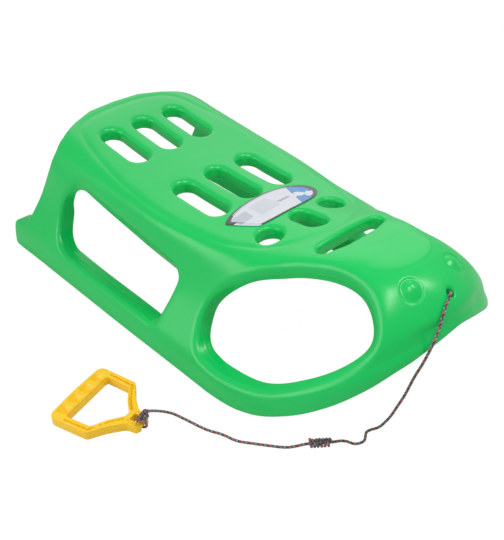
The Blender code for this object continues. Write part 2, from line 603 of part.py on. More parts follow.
def make_handle(look):
    """Grip handle: a five-sided frame with a finger-pocketed grip and an eye for the cord."""
    low, high = -PIVOT_HEIGHT, HANDLE_TALL - PIVOT_HEIGHT
    bar = EYE_BAR / 2
    eye_far = -bar - EYE_LENGTH
    side = EYE_HALF + EYE_CHEEK
    half = ((-HANDLE_REACH, -GRIP_HALF, GRIP_ROUND), (SHOULDER_AT, -SHOULDER_HALF, SHOULDER_ROUND),
            (eye_far, -side, GRIP_ROUND), (bar, EYE_TAPER - side, EYE_ROUND))
    outline = rounded(half + mirrored(half) + ((-HANDLE_REACH - GRIP_BOW, 0.0, BOW_ROUND),), HANDLE_GRAIN)
    grip_inner = -HANDLE_REACH + GRIP_WIDE
    half = ((grip_inner, LEG_WIDE - GRIP_HALF, INNER_ROUND),
            (SHOULDER_AT - INNER_ROUND, LEG_WIDE - SHOULDER_HALF, INNER_ROUND),
            (eye_far - EYE_CHEEK, -THROAT_HALF, INNER_ROUND))
    inner = rounded(half + mirrored(half), HANDLE_GRAIN)
    handle = add("pull_handle", mesh("pull_handle", *prism(outline, low, high)), look, PIVOT)
    handle.rotation_euler.z = HANDLE_TURN
    eye = rectangle(eye_far, -bar, -EYE_HALF, EYE_HALF, EYE_HOLE_ROUND)
    cut(handle, "opening_and_eye", [prism(inner, low - OVER, high + OVER), prism(eye, low - OVER, high + OVER)])
    beside_bar = rectangle(-bar, bar + OVER, -EYE_HALF, EYE_HALF, 0)
    above_bar = rectangle(-bar - EYE_HOLE_ROUND, bar + OVER, -EYE_HALF, EYE_HALF, 0)
    around_bar = [prism(above_bar, bar, high + OVER), prism(beside_bar, low - OVER, -bar)]
    cut(handle, "eye_bar_top_and_bottom", around_bar)
    front = rectangle(0, bar + OVER, -side - OVER, side + OVER, 0)
    cut(handle, "eye_lifted_off_the_floor", [prism(front, low - OVER, low + EYE_LIFT)])
    pockets = []
    for k in range(FINGERS):
        w = (k - (FINGERS - 1) / 2) * FINGER_PITCH
        u = -HANDLE_REACH + GRIP_WIDE / 2
        pocket = rectangle(u - POCKET_HALF, u + POCKET_HALF, w - POCKET_HALF, w + POCKET_HALF, POCKET_ROUND)
        pockets.append(prism(pocket, high - POCKET_DEEP, high + OVER))
    cut(handle, "finger_pockets", pockets)
    for sense, name in ((1, "left"), (-1, "right")):
        middle = LEG_WIDE / 2
        corner = (grip_inner + THROAT_HALF, sense * (GRIP_HALF - middle))
        knee = (SHOULDER_AT, sense * (SHOULDER_HALF - middle))
        end = (eye_far - GROOVE_END, sense * (EYE_HALF + THROAT_HALF))
        faces = (("top", high - GROOVE_DEEP, high + OVER), ("bottom", low - OVER, low + GROOVE_DEEP))
        for face, floor, top in faces:
            cut(handle, f"groove_{name}_{face}_rear", [prism(strip(corner, knee, GROOVE_WIDE), floor, top)])
            cut(handle, f"groove_{name}_{face}_front", [prism(strip(knee, end, GROOVE_WIDE), floor, top)])


def handle_point(u, w, z):
    """World point from the handle's own frame at rest."""
    return (PIVOT[0] + u * cos(HANDLE_TURN) - w * sin(HANDLE_TURN),
            PIVOT[1] + u * sin(HANDLE_TURN) + w * cos(HANDLE_TURN), PIVOT[2] + z)


def make_cord(look):
    """Pull cord with its knots: under the nose, half way, and at the handle's eye."""
    hole = np.array((NOSE_HOLE_AT, 0.0))
    top, under = skin(hole), skin(hole, wall(hole))
    up = (top - under) / np.linalg.norm(top - under)
    half_knot = (STOP_TURNS * WRAP_PITCH + CORD) / 2
    stop = under - up * (STOP_SEAT + half_knot)
    rest = CORD / 2 + GAP
    route = [tuple(stop - up * (half_knot + TAIL)), tuple(stop), tuple(top - up * HOLE_RUN)]
    route += [tuple(top + np.array(p)) for p in CORD_OVER_HOLE]
    route += [tuple(skin(np.array(p), -rest - NOSE_LIFT)) for p in CORD_ON_NOSE]
    route += list(CORD_HANGING)
    route += [(x, y, rest) for x, y in CORD_ON_FLOOR_FRONT]
    axis = np.array(BARREL_AXIS)
    half = (BARREL_TURNS * WRAP_PITCH) / 2
    route += [(*(np.array(BARREL_AT) + axis * s * half), BARREL_HEIGHT) for s in (-1.1, 0, 1.1)]
    route += [(x, y, rest) for x, y in CORD_ON_FLOOR_REAR]
    route += [handle_point(*p) for p in CORD_TO_EYE]
    knot = np.array((KNOT_REACH * cos(KNOT_ANGLE), 0, KNOT_REACH * sin(KNOT_ANGLE)))
    knot_half = EYE_TURNS * WRAP_PITCH / 2
    route += [handle_point(knot[0], s * knot_half, knot[2]) for s in (1.2, 0, -1.1)]
    route += [handle_point(knot[0] + LOOSE_END[0], LOOSE_END[1] - knot_half, knot[2] + LOOSE_END[2])]
    points, length = through(route, CORD_STEP, CORD_TURN)
    print("pull_cord length, mm:", round(length * 1000), "points:", len(points))
    tube("pull_cord", points, look, 2)
    winding("stop_knot", stop, up, (0, 1, 0), STOP_TURNS, WRAP_RADIUS, look)
    barrel = (*BARREL_AT, BARREL_HEIGHT)
    winding("barrel_knot", barrel, (*BARREL_AXIS, 0), (0, 0, 1), BARREL_TURNS, WRAP_RADIUS, look)
    swing = (-sin(HANDLE_TURN), cos(HANDLE_TURN), 0)
    winding("eye_knot", handle_point(*knot), swing, (0, 0, 1), EYE_TURNS, WRAP_RADIUS, look)
    ends = radians(LOOP_OPEN) / 2
    angles = np.linspace(KNOT_ANGLE + ends, KNOT_ANGLE + 2 * pi - ends, 25)
    loop = [np.array((cos(t), 0, sin(t))) * LOOP_RADIUS for t in angles]
    stand_off = WRAP_RADIUS + CORD / 2 + GAP
    for k in (0, -1):
        away = loop[k] - knot
        end = knot + away / np.linalg.norm(away) * stand_off
        loop = [end] + loop if k == 0 else loop + [end]
    tube("eye_loop", [handle_point(*p) for p in loop], look, 2)


def main():
    for old in list(bpy.data.objects):
        bpy.data.objects.remove(old)
    green = material("green_polyethylene", (0.010, 0.52, 0.085), 0.38)
    yellow = material("yellow_polypropylene", (1.0, 0.60, 0.02), 0.35)
    paper = material("label_film", (0.80, 0.84, 0.88), 0.30)
    braid = material("braided_cord", (0.05, 0.16, 0.20), 0.75)
    make_shell(green)
    make_label(paper)
    make_cord(braid)
    make_handle(yellow)


main()
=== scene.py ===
# %% [markdown]
# A child's plastic sled, dressed over its construction model.
# The real sled is one blow-moulded shell of green polyethylene: a saddle-shaped seat on two
# runners, pierced by slots, with a rounded nose.  A braided cord runs from the nose over the
# floor to a yellow grip handle.  The construction model holds the sizes and the joint.  Here each
# piece is made again as a fine surface with its finish, in the same place.

# %% Load the frame
from math import pi, sin, cos, tan, radians, hypot

import bpy
import numpy as np
from mathutils import Matrix, Vector
from mathutils.geometry import delaunay_2d_cdt


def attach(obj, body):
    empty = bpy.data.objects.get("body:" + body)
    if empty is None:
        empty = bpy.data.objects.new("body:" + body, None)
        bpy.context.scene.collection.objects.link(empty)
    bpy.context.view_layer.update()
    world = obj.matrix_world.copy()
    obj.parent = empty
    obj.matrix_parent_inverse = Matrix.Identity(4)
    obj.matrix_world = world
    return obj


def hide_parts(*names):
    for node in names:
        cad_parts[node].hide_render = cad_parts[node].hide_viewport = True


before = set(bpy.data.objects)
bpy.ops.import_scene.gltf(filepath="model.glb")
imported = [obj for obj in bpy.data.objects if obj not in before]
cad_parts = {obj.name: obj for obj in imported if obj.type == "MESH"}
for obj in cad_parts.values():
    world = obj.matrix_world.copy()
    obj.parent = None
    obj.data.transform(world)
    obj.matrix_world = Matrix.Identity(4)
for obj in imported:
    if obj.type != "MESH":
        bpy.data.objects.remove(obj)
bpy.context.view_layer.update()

# %% [markdown]
# The camera comes first, because every later choice is judged through it.  Its place was worked
# out from the photograph: the sled is symmetric and stands on the floor, so its mirrored pairs of
# slots and the straight foot of the runner fix where the photographer stood and how long the
# lens was.

# %% Camera
IMAGE_WIDTH, IMAGE_HEIGHT = 504, 540
VIEW_TURN, VIEW_RISE, VIEW_ROLL = radians(47.26), radians(36.08), radians(-0.08)
VIEW_DISTANCE = 1.3641
VIEW_TARGET = Vector((-0.0012, 0.0, 0.0412))
FOCAL_PIXELS = 860.7
SENSOR = 36.0
CLIP_START = 0.05


def add_object(name, data):
    """Object that holds the data, linked into the scene."""
    made = bpy.data.objects.new(name, data)
    bpy.context.scene.collection.objects.link(made)
    return made


def make_camera():
    """Camera on a sphere round its target: turn about the vertical, then rise above the floor."""
    back = Vector((sin(VIEW_TURN) * cos(VIEW_RISE), -cos(VIEW_TURN) * cos(VIEW_RISE), sin(VIEW_RISE)))
    data = bpy.data.cameras.new("camera")
    data.sensor_width = SENSOR
    data.lens = FOCAL_PIXELS / max(IMAGE_WIDTH, IMAGE_HEIGHT) * SENSOR
    data.clip_start = CLIP_START
    camera = add_object("camera", data)
    camera.location = VIEW_TARGET + back * VIEW_DISTANCE
    turn = (-back).to_track_quat("-Z", "Y").to_matrix() @ Matrix.Rotation(VIEW_ROLL, 3, "Z")
    camera.rotation_euler = turn.to_euler()
    bpy.context.scene.camera = camera
    return camera


camera = make_camera()
print("lens, mm:", round(camera.data.lens, 2), "at", [round(x, 3) for x in camera.location])

# %% [markdown]
# Every finish below is built from shader nodes.  Writing them as sums and products is easier to
# read than a list of links, so one small class wraps a socket: adding, multiplying or comparing
# two of them adds the Math node that does it.  One method makes any other node from its type,
# its settings and the values or links of its sockets.

# %% Shader maths
# Places of outputs: object coordinates, an attribute's number, and two of Light Path's rays
OBJECT_PLACE, ATTRIBUTE_NUMBER, CAMERA_RAY, TRANSMISSION_RAY = 3, 2, 0, 6
# The Mix node's sockets for colours: both inputs and the output
MIX_FIRST, MIX_SECOND, MIX_RESULT = 6, 7, 2


class Value:
    """A number that varies over the surface: the output of some node."""

    def __init__(self, finish, socket):
        self.finish, self.socket = finish, socket

    def maths(self, operation, *others):
        return self.finish.node("ShaderNodeMath", {"operation": operation}, self, *others)[0]

    def __add__(self, other):
        return self.maths("ADD", other)

    def __sub__(self, other):
        return self.maths("SUBTRACT", other)

    def __rsub__(self, other):
        return (self * -1.0).maths("ADD", other)

    def __mul__(self, other):
        return self.maths("MULTIPLY", other)

    def __gt__(self, other):
        return self.maths("GREATER_THAN", other)

    def __lt__(self, other):
        return self.maths("LESS_THAN", other)

    def within(self, low, high):
        """1 between two bounds, 0 outside them."""
        return (self > low) * (self < high)


class Finish:
    """A material under construction."""

    def __init__(self, name, colour, roughness, **constants):
        self.material = bpy.data.materials.new(name)
        self.material.use_nodes = True
        self.tree = self.material.node_tree
        self.shader = self.tree.nodes["Principled BSDF"]
        self.material.diffuse_color = (*colour, 1.0)
        self.set("Base Color", (*colour, 1.0))
        self.set("Roughness", roughness)
        for socket, value in constants.items():
            self.set(socket.replace("_", " "), value)

    def set(self, socket, value):
        """Sets or links one of the shader's own sockets."""
        self.feed(self.shader.inputs[socket], value)

    def feed(self, socket, value):
        if isinstance(value, Value):
            self.tree.links.new(value.socket, socket)
        elif value is not None:
            socket.default_value = value

    def node(self, kind, settings=None, *values, **named):
        """Any node: its settings first, then its sockets in order, then sockets by name."""
        made = self.tree.nodes.new(kind)
        for key, value in (settings or {}).items():
            if key == "stops":
                ramp = made.color_ramp
                while len(ramp.elements) < len(value):
                    ramp.elements.new(1.0)
                for element, (place, colour) in zip(ramp.elements, value):
                    element.position = place
                    element.color = (*colour, 1.0)
            elif key == "interpolation":
                made.color_ramp.interpolation = value
            else:
                setattr(made, key, value)
        for socket, value in zip(made.inputs, values):
            self.feed(socket, value)
        for key, value in named.items():
            self.feed(made.inputs[key.replace("_", " ")], value)
        return [Value(self, socket) for socket in made.outputs]

    def noise(self, vector, scale, detail=2.0):
        return self.node("ShaderNodeTexNoise", None, vector, Scale=scale, Detail=detail)[0]

    def scaled(self, vector, scale, kind="POINT"):
        """A vector times a scale along each axis; kind TEXTURE divides by the scale instead."""
        return self.node("ShaderNodeMapping", {"vector_type": kind}, vector, Scale=scale)[0]

    def mix(self, share, first, second):
        """Colour between two colours."""
        made = self.node("ShaderNodeMix", {"data_type": "RGBA"})
        mixer = self.tree.nodes[-1]
        self.feed(mixer.inputs["Factor"], share)
        self.feed(mixer.inputs[MIX_FIRST], first if isinstance(first, Value) else (*first, 1.0))
        self.feed(mixer.inputs[MIX_SECOND], second if isinstance(second, Value) else (*second, 1.0))
        return made[MIX_RESULT]

    def bump(self, height, distance, strength):
        """Small relief, in metres, that only tilts the light."""
        normal = self.node("ShaderNodeBump", None, Strength=strength, Distance=distance, Height=height)[0]
        self.set("Normal", normal)


print("shader helpers ready")

# %% [markdown]
# The shell is one skin.  Across the sled it follows a smooth curve with control points from the
# seat's centre line down to the runner's foot; along the sled those control points drift, and
# round the nose the same curve is turned like a fan.  Laid flat, the skin becomes a plane with
# two coordinates: a along the sled, b over the surface from the centre line.  Every opening is an
# easy outline in that plane, and the function that follows lifts any flat point back into space.

# %% Sizes of the shell
HALF_WIDTH = 0.206
FAN_CENTRE = 0.500
NOSE_REACH = 0.262
PLAN_POWER = 2.28
REAR_FLARE, FLARE_FROM, FLARE_FULL = 0.0015, 0.48, 0.30
WALL_SEAT, WALL_RUNNER, WALL_NOSE = 0.022, 0.030, 0.016
# The seat's wall ends and the side's begins at these reaches; the nose's wall comes in by the
# share of the reach that lies ahead
SEAT_WALL_TO, SIDE_WALL_FROM = 0.14, 0.25
NOSE_WALL_FROM, NOSE_WALL_FULL = 0.1, 0.9
STATION_END = FAN_CENTRE + HALF_WIDTH * pi / 2
MIDDLE = (FAN_CENTRE + NOSE_REACH) / 2
# Place along, seat half width, drop at its edge, knee beyond the edge, radius and drop of the
# flank's middle, inset of the runner's shoulder
SECTIONS = np.array((
    (0.00, 0.122, 0.04, 0.028, 0.170, 0.50, 0.010),
    (0.10, 0.1416, 0.030, 0.022, 0.1700, 0.50, 0.010),
    (0.30, 0.1452, 0.010, 0.006, 0.1640, 0.48, 0.010),
    (0.50, 0.1167, 0.020, 0.020, 0.158, 0.46, 0.010),
    (0.58, 0.1097, 0.042, 0.026, 0.1709, 0.4800, 0.0110),
    (0.66, 0.1326, 0.060, 0.030, 0.1958, 0.50, 0.012),
    (0.73, 0.1700, 0.048, 0.028, 0.2426, 0.4764, 0.0093),
    (STATION_END, 0.2143, 0.030, 0.025, 0.2554, 0.44, 0.005)))
SPINE = np.array(((0.0, 0.213), (0.06, 0.2095), (0.15, 0.1975), (0.25, 0.188), (0.333, 0.184),
                  (0.42, 0.187), (0.50, 0.196), (0.58, 0.2099), (0.645, 0.2174), (0.69, 0.2214),
                  (0.74, 0.2113), (0.80, 0.1858)))
FALL = np.array(((0.0, 0.0005), (0.15, 0.0005), (0.333, 0.0036), (0.48, 0.0092), (0.58, 0.0087),
                 (0.66, 0.010), (0.71, 0.012)))
FALL_REACH = 0.100
# Two control points inside the seat as shares of its half width; drops of the knee, of the
# runner's shoulder and of its side; how much less the knee drops on the nose, and from where
SEAT_INNER, SEAT_OUTER = 0.42, 0.78
KNEE_DROP, SHOULDER_DROP, SIDE_DROP = 0.22, 0.74, 0.82
KNEE_LESS, KNEE_LESS_FROM = 0.06, 0.66
# Depth is measured level from this drop down; no reach counts as less than the second number
LEAN_FULL, LEAST_REACH = 0.8, 0.001
# Rows, columns and finer steps of the table that lays the skin flat
UNROLL_ROWS, UNROLL_COLUMNS, UNROLL_STEPS = 120, 160, 400
# Keep a place in that table just short of its last row and column, and a curve's parameter just
# short of its end
TABLE_SHY, CURVE_SHY = 1.001, 1e-9
NOSE_FROM, NOSE_FULL = 0.50, 0.62
LIP = np.array(((0.0, 0.0), (0.50, 0.0), (0.55, 0.003), (0.59, 0.012), (0.64, 0.0375),
                (0.68, 0.0664), (0.72, 0.101), (0.75, 0.1273), (0.785, 0.1466), (STATION_END, 0.1588)))
print("shell:", round((FAN_CENTRE + NOSE_REACH) * 1000), "by", round(2000 * HALF_WIDTH), "mm")


# %% Lifting a flat point onto the shell
def cubic(t, gap, start, leave, end, enter):
    """Cubic from start to end over a gap, with the slopes leave and enter.

    start (1 + 2t)(1 - t)^2 + leave gap t (1 - t)^2 + end t^2 (3 - 2t) + enter gap t^2 (t - 1)
    """
    return ((1 + 2 * t) * (1 - t) ** 2 * start + t * (1 - t) ** 2 * gap * leave
            + t * t * (3 - 2 * t) * end + t * t * (t - 1) * gap * enter)


def curve_through(table, x):
    """Cubic curve through rows (place, values...) that never swings past them."""
    places, values = table[:, 0], table[:, 1:]
    step = np.diff(places)[:, None]
    rise = np.diff(values, axis=0) / step
    before, after = rise[:-1], rise[1:]
    same = before * after > 0
    slope = np.zeros_like(values)
    slope[1:-1] = np.where(same, 2 * before * after / np.where(same, before + after, 1), 0)
    x = np.clip(x, places[0], places[-1])
    i = np.clip(np.searchsorted(places, x) - 1, 0, len(places) - 2)
    h = step[i]
    t = (x - places[i])[..., None] / h
    return cubic(t, h, values[i], slope[i], values[i + 1], slope[i + 1])


def ease(start, end, x):
    """Smooth step: 0 before start, 1 after end, 3t^2 - 2t^3 between."""
    t = np.clip((x - start) / (end - start), 0, 1)
    return t * t * (3 - 2 * t)


def plan_radius(station):
    """Half width, then the nose's reach: a superellipse between the two, and a flare at the rear."""
    turn = np.clip(station - FAN_CENTRE, 0, None) / HALF_WIDTH
    share = (np.sin(turn) / NOSE_REACH) ** PLAN_POWER + (np.abs(np.cos(turn)) / HALF_WIDTH) ** PLAN_POWER
    return share ** (-1 / PLAN_POWER) + REAR_FLARE * ease(FLARE_FROM, FLARE_FULL, station)


def section(station):
    """Control radii and drops (0 at the seat, 1 at the foot) of the curve across the shell."""
    seat, crest, knee, flank, flank_drop, inset = np.moveaxis(curve_through(SECTIONS, station), -1, 0)
    edge = plan_radius(station)
    nil, one = np.zeros_like(seat), np.ones_like(seat)
    knee_drop = KNEE_DROP - KNEE_LESS * ease(KNEE_LESS_FROM, STATION_END, station)
    radii = (nil, SEAT_INNER * seat, SEAT_OUTER * seat, seat, seat + knee, flank, edge - inset, edge, edge)
    drops = (nil, nil, nil, crest, knee_drop * one, flank_drop, SHOULDER_DROP * one, SIDE_DROP * one, one)
    return np.stack(radii, -1), np.stack(drops, -1)


def spline(control, t):
    """Clamped cubic B-spline of control[..., k] at t from 0 to 1, by de Boor's recurrence."""
    spans = control.shape[-1] - 3
    knots = np.concatenate((np.zeros(3), np.arange(spans + 1), np.full(3, spans)))
    u = np.clip(t, 0, 1 - CURVE_SHY) * spans
    j = np.floor(u).astype(int) + 3
    basis = [np.ones_like(u)]
    for degree in (1, 2, 3):
        higher = [np.zeros_like(u) for _ in range(degree + 1)]
        for r in range(degree):
            left, right = knots[j + 1 + r - degree], knots[j + 1 + r]
            w = (u - left) / (right - left)
            higher[r] += basis[r] * (1 - w)
            higher[r + 1] += basis[r] * w
        basis = higher
    return sum(basis[r] * np.take_along_axis(control, (j - 3 + r)[..., None], -1)[..., 0] for r in range(4))


def seat_height(x, y):
    """Height of seat and nose: the spine's height less a fall.

    With s = (y / reach)^2 held at 1, the fall grows as s (2 - s) on the seat and as
    s^2 (3 - 2s) on the nose.
    """
    out = np.clip(np.abs(y) / FALL_REACH, 0, 1) ** 2
    nose = ease(NOSE_FROM, NOSE_FULL, x)
    share = (1 - nose) * out * (2 - out) + nose * out ** 2 * (3 - 2 * out)
    return curve_through(SPINE, x)[..., 0] - curve_through(FALL, x)[..., 0] * share


def lip_height(station):
    """Height of the shell's lower edge: the floor under the runners, rising round the nose."""
    return curve_through(LIP, station)[..., 0]


def unroll():
    """Distance from centre line to foot at each station, and the curve's parameter at shares of it."""
    station = np.linspace(0, STATION_END, UNROLL_ROWS)
    t = np.linspace(0, 1, UNROLL_STEPS)
    radii, drops = section(station[:, None] * np.ones(UNROLL_STEPS))
    every = t[None, :] * np.ones((UNROLL_ROWS, 1))
    r, drop = spline(radii, every), spline(drops, every)
    tall = (curve_through(SPINE, np.minimum(station, FAN_CENTRE))[..., 0] - lip_height(station))[:, None]
    run = np.hypot(np.diff(r), np.diff(drop) * tall).cumsum(1)
    run = np.concatenate((np.zeros((UNROLL_ROWS, 1)), run), 1)
    share = np.linspace(0, 1, UNROLL_COLUMNS)
    return station, run[:, -1], np.array([np.interp(share, line / line[-1], t) for line in run])


STATIONS, GIRTHS, PARAMETERS = unroll()


def girth(station):
    """Distance over the surface from the centre line to the foot."""
    return np.interp(station, STATIONS, GIRTHS)


def parameter(station, share):
    """Curve parameter at a share of the way from the centre line to the foot."""
    rows, columns = PARAMETERS.shape
    i = np.clip(station / STATION_END * (rows - 1), 0, rows - TABLE_SHY)
    j = np.clip(share * (columns - 1), 0, columns - TABLE_SHY)
    row, column = i.astype(int), j.astype(int)
    down, over = i - row, j - column
    near = PARAMETERS[row, column] * (1 - over) + PARAMETERS[row, column + 1] * over
    far = PARAMETERS[row + 1, column] * (1 - over) + PARAMETERS[row + 1, column + 1] * over
    return near * (1 - down) + far * down


def polar(flat):
    """Distance from the fan's centre line, and the angle round the nose."""
    a, b = flat[..., 0], flat[..., 1]
    ahead = a > FAN_CENTRE
    turn = np.where(ahead, np.arctan2(np.maximum(a - FAN_CENTRE, 0), np.abs(b)), 0)
    return np.where(ahead, np.hypot(a - FAN_CENTRE, b), np.abs(b)), turn, ahead


def skin(flat, depth=0.0):
    """Flat point to world point, depth metres under the outer face.

    The depth is measured along the wall, which leans from upright at the seat to level at the
    runner.
    """
    a, b = flat[..., 0], flat[..., 1]
    reach, turn, ahead = polar(flat)
    station = np.where(ahead, FAN_CENTRE + HALF_WIDTH * turn, a)
    t = parameter(station, reach / girth(station))
    radii, drops = section(station)
    r, drop = spline(radii, t), spline(drops, t)
    out_x, out_y = np.sin(turn), np.where(b < 0, -1.0, 1.0) * np.cos(turn)
    x, y = np.minimum(a, FAN_CENTRE) + out_x * r, out_y * r
    z = seat_height(x, y) * (1 - drop) + lip_height(station) * drop
    lean = radians(90) * ease(0.0, LEAN_FULL, drop)
    level, upright = np.sin(lean) * depth, np.cos(lean) * depth
    return np.stack((x - out_x * level - MIDDLE, y - out_y * level, z - upright), -1)


def wall(flat):
    """Thickness of the twin wall: seat, runners, thinner round the nose."""
    reach = polar(flat)[0]
    ahead = np.maximum(flat[..., 0] - FAN_CENTRE, 0)
    round_nose = ease(NOSE_WALL_FROM, NOSE_WALL_FULL, ahead / np.maximum(reach, LEAST_REACH))
    edge = WALL_RUNNER + (WALL_NOSE - WALL_RUNNER) * round_nose
    return WALL_SEAT + (edge - WALL_SEAT) * ease(SEAT_WALL_TO, SIDE_WALL_FROM, reach)


print("the skin over the fan's centre lies at", skin(np.array((FAN_CENTRE, 0.0))).round(4))

# %% [markdown]
# The cord is a limp braid about four millimetres thick.  It comes up through the nose's hole,
# hangs over the nose, lies on the floor with one barrel knot, and is tied to the handle's eye.
# It could be a curve with a bevel, but a braid's colours must run round and along it, so it is
# a grid carried along the path: one direction follows the cord, the other goes round it, and the
# same two directions become the UV map of the braid.

# %% Sizes of the cord
CORD = 0.004
GAP = 0.0003
NOSE_HOLE_AT, NOSE_HOLE_RADIUS = 0.740, 0.005
WRAP_PITCH, WRAP_RADIUS = 0.0045, CORD + 0.0004
STOP_TURNS, STOP_SEAT = 3, 0.0058
BARREL_TURNS, BARREL_AT, BARREL_AXIS, BARREL_HEIGHT = 6, (0.6843, -0.1616), (-0.617, -0.787), 0.0069
EYE_TURNS = 3
KNOT_REACH, KNOT_ANGLE = 0.0150, radians(75)
LOOP_RADIUS, LOOP_OPEN = 0.00745, radians(80)
NOSE_LIFT = 0.0006
# Where the cord's line passes a knot, in half lengths from the knot's middle
BARREL_WAY, EYE_WAY = (-1.1, 0, 1.1), (1.2, 0, -1.1)
CORD_OVER_HOLE = ((0.0004, -0.0006, -0.0040), (0.0014, -0.0022, -0.0002), (0.0032, -0.0052, 0.0021))
CORD_ON_NOSE = ((0.7445, -0.0097), (0.7481, -0.0186), (0.7537, -0.0295), (0.7601, -0.0386))
CORD_HANGING = ((0.7617, -0.0555, 0.1655), (0.7594, -0.0586, 0.1509), (0.7537, -0.0601, 0.1277),
                (0.7456, -0.0620, 0.1000),
                (0.7380, -0.0667, 0.0655), (0.7321, -0.0703, 0.0448), (0.7260, -0.0741, 0.0245),
                (0.7202, -0.0776, 0.0110))
CORD_ON_FLOOR_FRONT = ((0.7151, -0.0820), (0.7103, -0.1001), (0.7180, -0.1139), (0.7175, -0.1190),
                       (0.7135, -0.1264), (0.7037, -0.1310))
CORD_ON_FLOOR_REAR = ((0.6583, -0.1947), (0.6468, -0.2052), (0.6303, -0.2178), (0.6176, -0.2273),
                      (0.6039, -0.2361), (0.5849, -0.2419), (0.5665, -0.2505), (0.5452, -0.2568),
                      (0.5224, -0.2624), (0.5060, -0.2680))
CORD_TO_EYE = ((0.0080, 0.0300, -0.0010), (0.0065, 0.0190, 0.0085))
LOOSE_END = np.array((-0.001, -0.007, 0.004))
TAIL, HOLE_RUN = 0.006, 0.008
PIVOT = np.array((0.5015 - MIDDLE, -0.3110, 0.0105))
HANDLE_TURN = radians(17)


def handle_place(local):
    """Handle's own frame (u from grip to eye, w across, z up) to the world at rest."""
    local = np.asarray(local, float)
    u, w, z = np.moveaxis(local, -1, 0)
    return PIVOT + np.stack((u * cos(HANDLE_TURN) - w * sin(HANDLE_TURN),
                             u * sin(HANDLE_TURN) + w * cos(HANDLE_TURN), z), -1)


def route_points():
    """The cord's own points, from its end under the stop knot to its end in the eye's knot."""
    hole = np.array((NOSE_HOLE_AT, 0.0))
    top, under = skin(hole), skin(hole, wall(hole))
    up = (top - under) / np.linalg.norm(top - under)
    half_knot = (STOP_TURNS * WRAP_PITCH + CORD) / 2
    stop = under - up * (STOP_SEAT + half_knot)
    rest = CORD / 2 + GAP
    back = np.array((MIDDLE, 0, 0))
    route = [stop - up * (half_knot + TAIL), stop, top - up * HOLE_RUN]
    route += [top + np.array(p) for p in CORD_OVER_HOLE]
    route += [skin(np.array(p), -rest - NOSE_LIFT) for p in CORD_ON_NOSE]
    route += [np.array(p) - back for p in CORD_HANGING]
    route += [np.array((x, y, rest)) - back for x, y in CORD_ON_FLOOR_FRONT]
    axis, half = np.array(BARREL_AXIS), BARREL_TURNS * WRAP_PITCH / 2
    middle = np.array(BARREL_AT)
    route += [np.array((*(middle + axis * s * half), BARREL_HEIGHT)) - back for s in BARREL_WAY]
    route += [np.array((x, y, rest)) - back for x, y in CORD_ON_FLOOR_REAR]
    route += [handle_place(p) for p in CORD_TO_EYE]
    knot = np.array((KNOT_REACH * cos(KNOT_ANGLE), 0, KNOT_REACH * sin(KNOT_ANGLE)))
    knot_half = EYE_TURNS * WRAP_PITCH / 2
    route += [handle_place((knot[0], s * knot_half, knot[2])) for s in EYE_WAY]
    route.append(handle_place(LOOSE_END + (knot[0], -knot_half, knot[2])))
    return np.array(route), stop, up, knot


ROUTE, STOP_PLACE, HOLE_AXIS, EYE_KNOT = route_points()
print("cord route:", len(ROUTE), "points from", ROUTE[0].round(4), "to", ROUTE[-1].round(4))


# %% Curves and tubes
CURVE_PIECES = 60
CORD_STEP, CORD_SIDES, KNOT_SIDES = 0.0008, 16, 14
CROSS_WITH = (0.31, 0.22, 0.93)
BRAID_STRANDS, BRAID_PITCH, BRAID_LIFT = 4, 0.0125, 0.00012


def through(points, step):
    """Points about step apart on the natural cubic spline through a few points, and its length.

    The slopes come from one linear system that makes the curvature continuous.
    """
    gap = np.linalg.norm(np.diff(points, axis=0), axis=1)
    side = np.diff(points, axis=0) / gap[:, None]
    rows = np.diag(np.concatenate(([2], 2 * (gap[1:] + gap[:-1]), [2])))
    rows += np.diag(np.concatenate(([1], gap[:-1])), 1) + np.diag(np.concatenate((gap[1:], [1])), -1)
    sums = np.concatenate((3 * side[:1], 3 * (gap[1:, None] * side[:-1] + gap[:-1, None] * side[1:]),
                           3 * side[-1:]))
    slope = np.linalg.solve(rows, sums)
    t = (np.arange(CURVE_PIECES) / CURVE_PIECES)[None, :, None]
    fine = cubic(t, gap[:, None, None], points[:-1, None], slope[:-1, None], points[1:, None],
                 slope[1:, None]).reshape(-1, 3)
    fine = np.concatenate((fine, points[-1:]))
    run = length_along(fine)
    even = np.linspace(0, run[-1], int(np.ceil(run[-1] / step)) + 1)
    return np.stack([np.interp(even, run, fine[:, k]) for k in range(3)], 1), run[-1]


def length_along(path):
    """Distance from the start of a path to each of its points."""
    return np.concatenate(([0], np.linalg.norm(np.diff(path, axis=0), axis=1).cumsum()))


def frames_along(path):
    """Two cross directions that don't twist along the path.

    A fixed direction gives first cross directions; the angle by which they twist from one point
    to the next is added up and taken away again.
    """
    along = np.gradient(path, axis=0)
    along /= np.linalg.norm(along, axis=1)[:, None]
    first = np.cross(along, CROSS_WITH)
    first /= np.linalg.norm(first, axis=1)[:, None]
    second = np.cross(along, first)
    twist = np.arctan2((first[1:] * second[:-1]).sum(1), (first[1:] * first[:-1]).sum(1))
    turn = -np.concatenate(([0], twist.cumsum()))[:, None]
    return first * np.cos(turn) + second * np.sin(turn), second * np.cos(turn) - first * np.sin(turn)


def put(name, verts, faces, slot, uv=None, body="root"):
    """Mesh object from arrays; uv holds one pair for each corner of each face in order."""
    data = bpy.data.meshes.new(name)
    data.from_pydata(np.asarray(verts, float).tolist(), [], [list(map(int, f)) for f in faces])
    if uv is not None:
        layer = data.uv_layers.new(name="flat")
        layer.data.foreach_set("uv", np.asarray(uv, np.float32).ravel())
    data.polygons.foreach_set("use_smooth", [True] * len(data.polygons))
    data.update()
    piece = add_object(name, data)
    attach(piece, body)
    return piece


